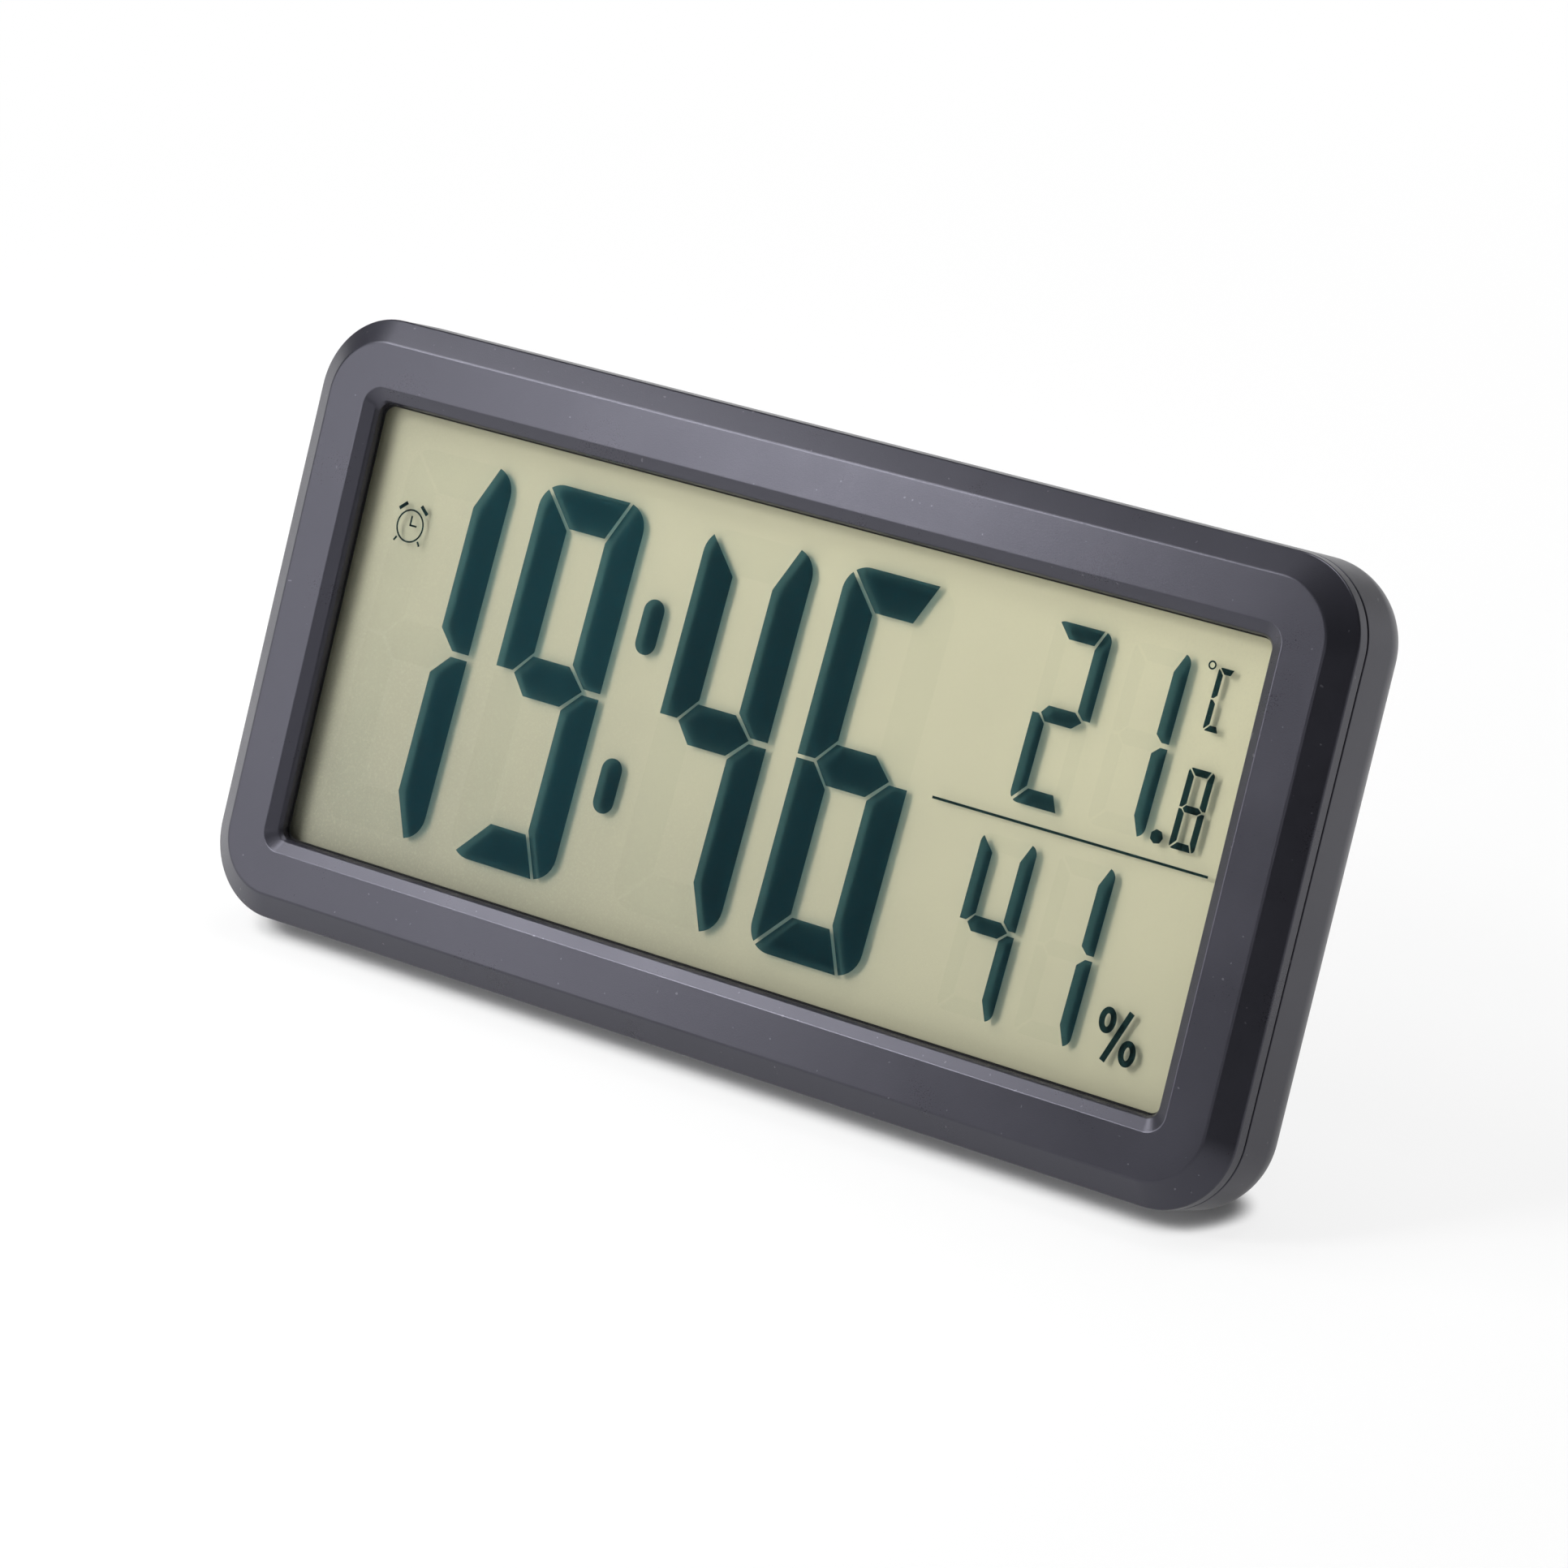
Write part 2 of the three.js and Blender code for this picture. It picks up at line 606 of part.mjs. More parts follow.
// Hollow of the bay, the door's rebate, the slots for the door's tongues and the contacts'
// tabs, and the finger scoop above the door.
function bayCuts() {
  const hollow = block([bayLeft, bayFloorBack, bayBottom], [bayRight, housingDepth + THROUGH, bayTop]);
  const rebateWidth = bayWidth + 2 * DOOR_LEDGE;
  const rebateHeight = bayLength + 2 * DOOR_LEDGE;
  const rebateShape = roundedShape(rebateWidth, rebateHeight, DOOR_CORNER, bayMiddle, bayCentreZ);
  const rebate = plate(rebateShape, doorFront - STACK_GAP, housingDepth + THROUGH);
  const slotFront = rearWallFront - DOOR_GAP - DOOR_TONGUE_THICKNESS - DOOR_TONGUE_SWING;
  const slotReach = DOOR_TONGUE_WIDTH / 2 + DOOR_GAP;
  const slotTop = bayBottom + DOOR_LEDGE;
  const tongueSlots = doorTongues().flatMap((x) => [
    block([x - slotReach, slotFront, bayBottom - THROUGH], [x + slotReach, rearWallFront, slotTop]),
    block(
      [x - slotReach, rearWallFront - DOOR_GAP, bayBottom - DOOR_LEDGE],
      [x + slotReach, housingDepth, slotTop],
    ),
  ]);
  const tabReach = TAB_WIDTH / 2 + CONTACT_GAP;
  const tabHalf = CONTACT_THICKNESS / 2 + CONTACT_GAP;
  const tabSlots = cellX.map((x) =>
    block(
      [x - tabReach, cellDepth - tabHalf, bayTop - BAY_WALL],
      [x + tabReach, cellDepth + tabHalf, bayTop + 2 * BAY_WALL],
    ),
  );
  const scoop = turned(
    [
      [0, housingDepth - FINGER_SCOOP_DEPTH],
      [FINGER_SCOOP_RADIUS - FINGER_SCOOP_DEPTH, housingDepth - FINGER_SCOOP_DEPTH],
      [FINGER_SCOOP_RADIUS, housingDepth],
      [FINGER_SCOOP_RADIUS, housingDepth + THROUGH],
      [0, housingDepth + THROUGH],
    ],
    bayMiddle,
    bayTop + DOOR_LEDGE,
  );
  return [hollow, rebate, ...tongueSlots, ...tabSlots, scoop];
}

function doorTongues() {
  const reach = bayWidth / 2 - DOOR_GAP - DOOR_TONGUE_WIDTH / 2;
  return [bayMiddle - reach, bayMiddle + reach];
}

// Recess that takes the folded stand, its hinge holes and the finger notch at its foot.
function standCuts() {
  const bottom = recessBottom();
  const hollow = block(
    [-recessHalfWidth, recessFloor, bottom],
    [recessHalfWidth, housingDepth + THROUGH, recessTop],
  );
  const holeReach = STAND_WIDTH / 2 + HINGE_PIN_LENGTH + STAND_SIDE_GAP / 2;
  const hole = hingeRod(HINGE_PIN_RADIUS + HINGE_CLEARANCE, holeReach);
  hole.translate(0, hingeDepth, STAND_HINGE_HEIGHT);
  const notchShape = roundedShape(FINGER_NOTCH_WIDTH, 2 * FINGER_NOTCH_REACH, STAND_FOOT_RADIUS, 0, bottom);
  const notch = plate(notchShape, housingDepth - FINGER_NOTCH_DEPTH, housingDepth + THROUGH);
  return [hollow, toSolid(hole), notch];
}

// Round bar along X, the same length on both sides.
function hingeRod(radius, reach) {
  const geometry = new THREE.CylinderGeometry(radius, radius, 2 * reach, SMALL_SIDES);
  geometry.rotateZ(Math.PI / 2);
  return geometry;
}

// Key holes, vents beside the sensor, sound holes over the sounder and the screw wells.
function backHoles() {
  const back = housingDepth + THROUGH;
  const wallFront = rearWallFront - ROOT_OVERLAP;
  const keyHole = [KEY_WIDTH + 2 * KEY_GAP, KEY_HEIGHT + 2 * KEY_GAP];
  const keys = keyPlaces().map((x) =>
    plate(roundedShape(...keyHole, keyHole[1] / 2, x, keyRow), wallFront, back),
  );
  const ventReach = (VENT_PITCH * (VENTS - 1)) / 2;
  const vents = evenRow(sensorZ - ventReach, sensorZ + ventReach, VENTS).map((z) =>
    plate(roundedShape(VENT_WIDTH, VENT_HEIGHT, VENT_HEIGHT / 2, sensorX, z), wallFront, back),
  );
  const sound = [rod(SOUND_HOLE_RADIUS, wallFront, back, piezoX, -PIEZO_DROP)];
  for (let index = 0; index < SOUND_HOLES; index++) {
    const angle = (2 * Math.PI * index) / SOUND_HOLES;
    const x = piezoX + SOUND_HOLE_RING * Math.cos(angle);
    const z = -PIEZO_DROP + SOUND_HOLE_RING * Math.sin(angle);
    sound.push(rod(SOUND_HOLE_RADIUS, wallFront, back, x, z));
  }
  const wells = casePosts().flatMap(([x, z]) => [
    rod(CASE_SCREW.head + WELL_CLEARANCE, caseSeatBack, back, x, z, ROUND_SIDES),
    rod(CASE_SCREW.shank + WELL_CLEARANCE, caseSeatFront - THROUGH, back, x, z),
  ]);
  return [...keys, ...vents, ...sound, ...wells];
}

// Battery door: a flush plate on two tongues at its lower edge, with a springy latch blade
// at its upper edge.
function batteryDoor() {
  const width = bayWidth + 2 * (DOOR_LEDGE - DOOR_GAP);
  const height = bayLength + 2 * (DOOR_LEDGE - DOOR_GAP);
  const shape = roundedShape(width, height, DOOR_CORNER - DOOR_GAP, bayMiddle, bayCentreZ);
  const cover = plate(shape, doorFront, housingDepth);
  const tongueBack = rearWallFront - DOOR_GAP;
  const tongueFront = tongueBack - DOOR_TONGUE_THICKNESS;
  const rootBottom = bayBottom - DOOR_LEDGE + DOOR_GAP;
  const rootTop = bayBottom + CONTACT_GAP;
  const tongues = doorTongues().flatMap((x) => {
    const left = x - DOOR_TONGUE_WIDTH / 2;
    const right = x + DOOR_TONGUE_WIDTH / 2;
    return [
      block([left, tongueFront, rootBottom], [right, doorFront + ROOT_OVERLAP, rootTop]),
      block([left, tongueFront, bayBottom - DOOR_TONGUE_REACH], [right, tongueBack, rootTop]),
    ];
  });
  const latchTop = bayTop - DOOR_GAP;
  const latch = block(
    [bayMiddle - LATCH_WIDTH / 2, doorFront - LATCH_LENGTH, latchTop - LATCH_THICKNESS],
    [bayMiddle + LATCH_WIDTH / 2, doorFront + ROOT_OVERLAP, latchTop],
  );
  return join(cover, ...tongues, latch);
}

// Stand, drawn folded about its hinge axis: a hollowed flap with two hinge pins. Its heel
// lands on the recess floor at the open angle, and its foot is cut level with the table.
function stand() {
  const stopDistance = hingeDepth - recessFloor - STAND_STOP_GAP;
  const heel = (stopDistance - standHalf * Math.cos(standOpen)) / Math.sin(standOpen);
  const footOuter = (hingeAboveTable + standHalf * Math.sin(legTilt)) / Math.cos(legTilt);
  const footInner = (hingeAboveTable - standHalf * Math.sin(legTilt)) / Math.cos(legTilt);
  const side = new THREE.Shape();
  side.moveTo(-standHalf, -footInner);
  side.lineTo(standHalf, -footOuter);
  side.absarc(0, 0, standHalf, 0, Math.PI / 2);
  side.lineTo(-standHalf, heel);
  const sideGeometry = new THREE.ExtrudeGeometry(side, {
    depth: STAND_WIDTH,
    bevelEnabled: false,
    curveSegments: EDGE_STEPS,
  });
  sideGeometry.rotateX(Math.PI / 2);
  sideGeometry.rotateZ(Math.PI / 2);
  sideGeometry.translate(-STAND_WIDTH / 2, 0, 0);
  const legHeight = footOuter + CELL_DIAMETER;
  const face = roundedShape(STAND_WIDTH, legHeight, STAND_FOOT_RADIUS, 0, legHeight / 2 - footOuter);
  const flap = toSolid(sideGeometry).intersect(plate(face, -STAND_THICKNESS, STAND_THICKNESS));
  const pocketTop = -standHalf - STAND_RIM;
  const pocketBottom = -footInner + 2 * STAND_RIM;
  const pocketMiddle = (pocketTop + pocketBottom) / 2;
  const pocketWidth = (STAND_WIDTH - 3 * STAND_RIM) / 2;
  const pockets = [-1, 1].map((sideX) => {
    const x = (sideX * (pocketWidth + STAND_RIM)) / 2;
    const shape = roundedShape(pocketWidth, pocketTop - pocketBottom, STAND_RIM, x, pocketMiddle);
    return plate(shape, -STAND_THICKNESS, -standHalf + STAND_POCKET_DEPTH);
  });
  const pins = toSolid(hingeRod(HINGE_PIN_RADIUS, STAND_WIDTH / 2 + HINGE_PIN_LENGTH));
  return join(cut(flap, ...pockets), pins);
}

// Key: a crowned oblong button with a flange that holds it in and a stem to its switch.
function key() {
  const flangeWidth = KEY_WIDTH + 2 * KEY_FLANGE;
  const flangeHeight = KEY_HEIGHT + 2 * KEY_FLANGE;
  const radius = KEY_HEIGHT / 2;
  const top = housingDepth + KEY_PROUD;
  const button = skin(
    [
      roundedRing(KEY_WIDTH, KEY_HEIGHT, radius, keyFlangeFront),
      roundedRing(KEY_WIDTH, KEY_HEIGHT, radius, top - KEY_EDGE),
      roundedRing(KEY_WIDTH - KEY_EDGE, KEY_HEIGHT - KEY_EDGE, radius - KEY_EDGE / 2, top - KEY_EDGE / 4),
      roundedRing(KEY_WIDTH - 3 * KEY_EDGE, KEY_HEIGHT - 3 * KEY_EDGE, radius - 1.5 * KEY_EDGE, top),
    ],
    false,
  );
  const flangeShape = roundedShape(flangeWidth, flangeHeight, flangeHeight / 2);
  const flange = plate(flangeShape, keyFlangeFront, keyFlangeBack);
  const stem = rod(KEY_STEM_RADIUS, plungerBack + PLUNGER_GAP, keyFlangeFront + ROOT_OVERLAP);
  return join(button, flange, stem);
}

// Push switch: a square body with a bore for its plunger.
function switchBody() {
  const half = SWITCH_SIZE / 2;
  const body = block([-half, solderDepth, -half], [half, switchBack, half]);
  return cut(body, rod(PLUNGER_RADIUS + PLUNGER_GAP, solderDepth + SWITCH_FLOOR, switchBack + THROUGH));
}

// Cell standing upright, its nub at the top.
function cell() {
  const radius = CELL_DIAMETER / 2;
  const shoulder = CELL_LENGTH - NUB_LENGTH;
  const profile = [
    [0, 0],
    [radius - CELL_EDGE, 0],
    [radius, CELL_EDGE],
    [radius, shoulder - CELL_EDGE],
    [radius - CELL_EDGE, shoulder],
    [NUB_DIAMETER / 2, shoulder],
    [NUB_DIAMETER / 2, CELL_LENGTH],
    [0, CELL_LENGTH],
  ];
  const points = profile.map(([distance, height]) => new THREE.Vector2(distance, height));
  const geometry = new THREE.LatheGeometry(points, ROUND_SIDES);
  geometry.rotateX(Math.PI / 2);
  return toSolid(geometry);
}

// Contact plate at one end of the bay, with a solder tab through the bay's upper wall.
function terminalContact() {
  const halfThickness = CONTACT_THICKNESS / 2;
  const bottom = upperContactBottom;
  const face = block(
    [-CONTACT_WIDTH / 2, cellDepth - CONTACT_HEIGHT / 2, bottom],
    [CONTACT_WIDTH / 2, cellDepth + CONTACT_HEIGHT / 2, bottom + CONTACT_THICKNESS],
  );
  const tab = block(
    [-TAB_WIDTH / 2, cellDepth - halfThickness, bottom],
    [TAB_WIDTH / 2, cellDepth + halfThickness, bayTop + BAY_WALL + TAB_LENGTH],
  );
  return join(face, tab);
}

// Plate that joins the two cells at the lower end of the bay.
function bridgeContact() {
  const reach = (cellX[1] - cellX[0] + CONTACT_WIDTH) / 2;
  const bottom = bayBottom + CONTACT_GAP;
  return block(
    [bayMiddle - reach, cellDepth - CONTACT_HEIGHT / 2, bottom],
    [bayMiddle + reach, cellDepth + CONTACT_HEIGHT / 2, bottom + CONTACT_THICKNESS],
  );
}

// Conical spring standing upright on its wide end. The wire leaves each end square, turns
// into the coil within a quarter turn, and keeps clear of itself.
function spring() {
  const steps = SPRING_TURNS * CURL_STEPS;
  const runOut = SPRING_WIRE;
  const coilHeight = SPRING_LENGTH - 3 * runOut;
  const foot = new THREE.Vector3(SPRING_WIDE_RADIUS, 0, 0);
  const points = [foot, foot.clone().setZ(runOut)];
  for (let step = 1; step <= steps; step++) {
    const share = step / steps;
    const angle = 2 * Math.PI * SPRING_TURNS * share;
    const radius = THREE.MathUtils.lerp(SPRING_WIDE_RADIUS, SPRING_NARROW_RADIUS, share);
    const height = 1.5 * runOut + coilHeight * share;
    points.push(new THREE.Vector3(radius * Math.cos(angle), radius * Math.sin(angle), height));
  }
  const end = points[points.length - 1];
  points.push(new THREE.Vector3(end.x, end.y + runOut / 2, SPRING_LENGTH - runOut));
  points.push(new THREE.Vector3(end.x, end.y + runOut / 2, SPRING_LENGTH));
  let nearest = Infinity;
  points.forEach((point, index) => {
    for (let other = index + CURL_STEPS - 1; other < points.length; other++) {
      nearest = Math.min(nearest, point.distanceTo(points[other]) - SPRING_WIRE);
    }
  });
  console.log("least gap between the turns of a spring: " + nearest.toFixed(2) + " mm");
  return wire(points, SPRING_WIRE / 2, CURL_SIDES);
}

// Screw driven from the back: a head with a bevelled top over a plain, pointed shank.
function screw(size, seat) {
  const headBack = seat + size.headHeight;
  return turned(
    [
      [0, seat - size.length],
      [size.shank, seat - size.length + size.shank],
      [size.shank, seat],
      [size.head, seat],
      [size.head, seat + size.headHeight / 2],
      [size.head - size.headHeight / 2, headBack],
      [0, headBack],
    ],
    0,
    0,
    SMALL_SIDES,
  );
}

function mainBoard() {
  const low = [boardLeft, boardFront, boardBottom];
  const holes = boardScrewX().map((x) =>
    rod(SMALL_SCREW.shank + WELL_CLEARANCE, boardFront - THROUGH, boardBack + THROUGH, x, smallBossZ),
  );
  return cut(block(low, [boardRight, boardBack, boardTop]), ...holes);
}

// Strip that holds the display's lower edge, screwed to the bezel's bosses.
function lcdRetainer() {
  const front = displayBack + SOLDER_GAP;
  const back = front + RETAINER_THICKNESS;
  const bottom = -halfHeight + WALL + STAND_SIDE_GAP;
  const reach = glassHalfWidth - RETAINER_MARGIN;
  const strip = block([-reach, front, bottom], [reach, back, bottom + RETAINER_HEIGHT]);
  const holes = retainerScrewX().map((x) =>
    rod(SMALL_SCREW.shank + WELL_CLEARANCE, front - THROUGH, back + THROUGH, x, -smallBossZ),
  );
  return cut(strip, ...holes);
}

// Sheet of the display stack, from its lower edge to a given top.
function displaySheet(front, thickness, top) {
  return block([-glassHalfWidth, front, -glassHalfHeight], [glassHalfWidth, front + thickness, top]);
}

function chipBlob() {
  const profile = [[0, solderDepth], [CHIP_RADIUS, solderDepth]];
  for (let step = 1; step <= EDGE_STEPS; step++) {
    const angle = ((Math.PI / 2) * step) / EDGE_STEPS;
    profile.push([CHIP_RADIUS * Math.cos(angle), solderDepth + CHIP_HEIGHT * Math.sin(angle)]);
  }
  return turned(profile);
}

// Crystal can lying on the board along X.
function crystalCan() {
  const geometry = new THREE.CylinderGeometry(CRYSTAL_RADIUS, CRYSTAL_RADIUS, CRYSTAL_LENGTH, SMALL_SIDES);
  geometry.rotateZ(Math.PI / 2);
  geometry.translate(0, solderDepth + CRYSTAL_RADIUS, 0);
  return toSolid(geometry);
}

function capacitor() {
  return rod(CAPACITOR_RADIUS, solderDepth, solderDepth + CAPACITOR_HEIGHT);
}

// Slotted case of the humidity sensor.
function humiditySensor() {
  const back = solderDepth + SENSOR_DEPTH;
  const halfWidthHere = SENSOR_WIDTH / 2;
  const halfHeightHere = SENSOR_HEIGHT / 2;
  const body = block([-halfWidthHere, solderDepth, -halfHeightHere], [halfWidthHere, back, halfHeightHere]);
  const slotReach = SENSOR_HEIGHT / 4;
  const slots = evenRow(-halfWidthHere / 2, halfWidthHere / 2, SENSOR_SLOTS).map((x) =>
    block(
      [x - SENSOR_SLOT_WIDTH / 2, back - SENSOR_DEPTH / 2, -slotReach],
      [x + SENSOR_SLOT_WIDTH / 2, back + THROUGH, slotReach],
    ),
  );
  return cut(body, ...slots);
}

// Thermistor: a bead on two legs.
function thermistor() {
  const bead = new THREE.SphereGeometry(THERMISTOR_RADIUS, SMALL_SIDES, SMALL_SIDES / 2);
  bead.translate(0, solderDepth + THERMISTOR_STANDOFF, 0);
  const legs = [-1, 1].map((side) =>
    rod(
      THERMISTOR_LEG_RADIUS,
      solderDepth,
      solderDepth + THERMISTOR_STANDOFF,
      (side * THERMISTOR_RADIUS) / 2,
      0,
      CURL_STEPS,
    ),
  );
  return join(toSolid(bead), ...legs);
}

function material(color, roughness, metalness = 0) {
  return new THREE.MeshStandardMaterial({ color, roughness, metalness });
}

const bezelPlastic = () => material(0x4a4b53, 0.5);
const coverPlastic = () => material(0x45464e, 0.55);
const keyPlastic = () => material(0x33343a, 0.6);
const displayFilm = () => material(0xc6c4a8, 0.6);
const clearGlass = () => material(0xd9e0d6, 0.1);
const softRubber = () => material(0x2a2a2c, 0.9);
const boardGreen = () => material(0x1f5a38, 0.6);
const blackResin = () => material(0x16161a, 0.35);
const bareSteel = () => material(0xb9bcc0, 0.3, 1);
const brassSheet = () => material(0xb59a52, 0.35, 1);
const ceramicWhite = () => material(0xd8d6cc, 0.6);
const cellJacket = () => material(0x3a5f8c, 0.4);
const redWire = () => material(0xa02a24, 0.6);
const blackWire = () => material(0x1b1b1d, 0.6);

const clock = new THREE.Group();
const housing = new THREE.Group();
housing.rotation.x = -lean;
clock.add(housing);

function place(parent, name, solid, finish, position = [0, 0, 0]) {
  const mesh = new THREE.Mesh(toGeometry(solid), finish());
  mesh.name = name;
  mesh.position.set(...position);
  parent.add(mesh);
}

// Shells and display
place(housing, "front_bezel", frontBezel(), bezelPlastic);
place(housing, "rear_cover", rearCover(), coverPlastic);
const sheets = [
  ["lcd_polariser", polariserFront, POLARISER_THICKNESS, glassHalfHeight, displayFilm],
  ["lcd_front_glass", frontGlassFront, FRONT_GLASS_THICKNESS, ledgeTop, clearGlass],
  ["lcd_rear_glass", rearGlassFront, REAR_GLASS_THICKNESS, glassHalfHeight, clearGlass],
  ["lcd_reflector", reflectorFront, REFLECTOR_THICKNESS, glassHalfHeight, displayFilm],
];
for (const [name, front, thickness, top, finish] of sheets) {
  place(housing, name, displaySheet(front, thickness, top), finish);
}
place(housing, "lcd_retainer", lcdRetainer(), keyPlastic);

// Board, connector strip and components
place(housing, "main_board", mainBoard(), boardGreen);
const zebraBottom = glassHalfHeight + POCKET_CLEARANCE;
const zebra = block(
  [boardLeft + ZEBRA_MARGIN, frontGlassBack + STACK_GAP, zebraBottom],
  [boardRight - ZEBRA_MARGIN, boardFront - STACK_GAP, zebraBottom + ZEBRA_HEIGHT],
);
place(housing, "zebra_strip", zebra, softRubber);
const foam = block(
  [boardLeft + FOAM_MARGIN, displayBack + STACK_GAP, boardBottom + FOAM_EDGE],
  [boardRight - FOAM_MARGIN, boardFront - STACK_GAP, boardBottom + FOAM_EDGE + FOAM_HEIGHT],
);
place(housing, "foam_strip", foam, softRubber);
const partsRow = boardTop - CHIP_DROP;
const [, upKeyX, downKeyX, alarmKeyX] = keyPlaces();
place(housing, "chip_blob", chipBlob(), blackResin, [(upKeyX + downKeyX) / 2, 0, partsRow]);
place(housing, "crystal_can", crystalCan(), bareSteel, [downKeyX, 0, partsRow]);
place(housing, "capacitor", capacitor(), blackResin, [alarmKeyX, 0, partsRow]);
place(housing, "humidity_sensor", humiditySensor(), ceramicWhite, [sensorX, 0, sensorZ]);
place(housing, "thermistor", thermistor(), blackResin, [sensorX + SENSOR_WIDTH, 0, sensorZ]);

// Keys with their switches
keyPlaces().forEach((x, index) => {
  const spot = [x, 0, keyRow];
  place(housing, "switch_" + (index + 1), switchBody(), blackResin, spot);
  const plunger = rod(PLUNGER_RADIUS, plungerFront, plungerBack);
  place(housing, "switch_plunger_" + (index + 1), plunger, ceramicWhite, spot);
  place(housing, "key_" + KEY_NAMES[index], key(), keyPlastic, spot);
});

// Sounder
const piezoSpot = [piezoX, 0, -PIEZO_DROP];
const ceramicBack = piezoFront - SOLDER_GAP;
const piezo = rod(PIEZO_RADIUS, piezoFront, piezoBack, 0, 0, ROUND_SIDES);
const ceramic = rod(CERAMIC_RADIUS, ceramicBack - CERAMIC_THICKNESS, ceramicBack, 0, 0, ROUND_SIDES);
place(housing, "piezo_disc", piezo, brassSheet, piezoSpot);
place(housing, "piezo_ceramic", ceramic, ceramicWhite, piezoSpot);

// Cells, contacts and door
const upright = cell();
const upsideDown = upright.rotate([0, 180, 0]).translate([0, 0, CELL_LENGTH]);
const cellOnSpring = lowerContactTop + 2 * CONTACT_GAP + SPRING_LENGTH;
place(housing, "battery_1", upright, cellJacket, [cellX[0], cellDepth, cellOnSpring]);
place(housing, "battery_2", upsideDown, cellJacket, [cellX[1], cellDepth, lowerContactTop + CONTACT_GAP]);
place(housing, "contact_positive", terminalContact(), bareSteel, [cellX[0], 0, 0]);
place(housing, "contact_negative", terminalContact(), bareSteel, [cellX[1], 0, 0]);
place(housing, "contact_bridge", bridgeContact(), bareSteel);
const coil = spring();
const hangingCoil = coil.rotate([0, 180, 0]);
place(housing, "spring_bridge", coil, bareSteel, [cellX[0], cellDepth, lowerContactTop + CONTACT_GAP]);
const hangingTop = upperContactBottom - CONTACT_GAP;
place(housing, "spring_negative", hangingCoil, bareSteel, [cellX[1], cellDepth, hangingTop]);
place(housing, "battery_door", batteryDoor(), coverPlastic);

// Leads, from the contacts' tabs and the sounder to pads on the board
const tabEnd = bayTop + BAY_WALL + TAB_LENGTH + CONTACT_GAP;
const headroom = halfHeight - WALL - tabEnd;
const padDepth = solderDepth + SOLDER_GAP;

// Supply lead: up from its tab, across above the bay, then down on to its pad.
function supplyLead(tabX, padX, runDepth, rise) {
  const runHeight = tabEnd + headroom * rise;
  return lead([
    [tabX, cellDepth, tabEnd],
    [tabX, cellDepth, tabEnd + LEAD_END],
    [tabX - LEAD_BEND, runDepth, runHeight],
    [boardRight + LEAD_BEND, runDepth, runHeight],
    [padX, padDepth + 2 * LEAD_END, runHeight],
    [padX, padDepth + LEAD_END, runHeight],
    [padX, padDepth, runHeight],
  ]);
}

// Sounder lead: forward from its solder spot, up behind the display, then on to its pad.
function sounderLead(spot, padX) {
  const [x, depth, z] = spot;
  const padRow = boardBottom + PAD_EDGE;
  return lead([
    [x, depth, z],
    [x, depth - LEAD_END, z],
    [x + LEAD_END, depth - LEAD_BEND, z + LEAD_BEND],
    [padX, padDepth + LEAD_BEND, padRow - 3 * LEAD_BEND],
    [padX, padDepth + 2 * LEAD_END, padRow - LEAD_END],
    [padX, padDepth + LEAD_END, padRow],
    [padX, padDepth, padRow],
  ]);
}

const [positiveRise, negativeRise] = LEAD_RISES;
const positivePad = boardRight - PAD_INSET;
const negativePad = positivePad - PAD_SPACING;
const positiveLead = supplyLead(cellX[0], positivePad, cellDepth - LEAD_SPACING / 2, positiveRise);
const negativeLead = supplyLead(cellX[1], negativePad, cellDepth + LEAD_SPACING, negativeRise);
place(housing, "lead_positive", positiveLead, redWire);
place(housing, "lead_negative", negativeLead, blackWire);
const spotHeight = -PIEZO_DROP + CERAMIC_RADIUS / 3;
const ceramicSpot = [piezoX + CERAMIC_RADIUS / 3, ceramicBack - CERAMIC_THICKNESS - SOLDER_GAP, spotHeight];
const rimSpot = [piezoX + (CERAMIC_RADIUS + PIEZO_RADIUS) / 2, piezoFront - SOLDER_GAP, spotHeight];
const ceramicPad = ceramicSpot[0] + LEAD_BEND;
place(housing, "piezo_lead_1", sounderLead(ceramicSpot, ceramicPad), redWire);
place(housing, "piezo_lead_2", sounderLead(rimSpot, ceramicPad + LEAD_BEND + LEAD_END), blackWire);

// Fasteners
casePosts().forEach(([x, z], index) => {
  const fastener = screw(CASE_SCREW, caseSeatBack + STACK_GAP);
  place(housing, "case_screw_" + (index + 1), fastener, bareSteel, [x, 0, z]);
});
boardScrewX().forEach((x, index) => {
  const fastener = screw(SMALL_SCREW, boardBack + STACK_GAP);
  place(housing, "board_screw_" + (index + 1), fastener, bareSteel, [x, 0, smallBossZ]);
});
retainerScrewX().forEach((x, index) => {
  const fastener = screw(RETAINER_SCREW, displayBack + SOLDER_GAP + RETAINER_THICKNESS + STACK_GAP);
  place(housing, "retainer_screw_" + (index + 1), fastener, bareSteel, [x, 0, -smallBossZ]);
});

// Stand, opened about its hinge
const standHinge = new THREE.Group();
standHinge.position.set(0, hingeDepth, STAND_HINGE_HEIGHT);
standHinge.rotation.x = standOpen;
housing.add(standHinge);
place(standHinge, "stand", stand(), coverPlastic);

// The middle of the footprint becomes the origin, at table height.
clock.updateMatrixWorld(true);
const reach = new THREE.Box3().setFromObject(clock, true);
const middle = reach.getCenter(new THREE.Vector3());
housing.position.set(-middle.x, -middle.y, -reach.min.z);

export default clock;
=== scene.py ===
# %% [markdown]
# A digital desk clock leans back on a fold-out stand and shows the time, the temperature and
# the humidity on a large liquid-crystal display. Its solids are already packed as a frame in
# metres. This lesson dresses them: finer shells with rounded edges, the display's segments,
# keys, screws and cells, and then the finishes of plastic, film, metal and rubber.

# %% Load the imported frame
import math

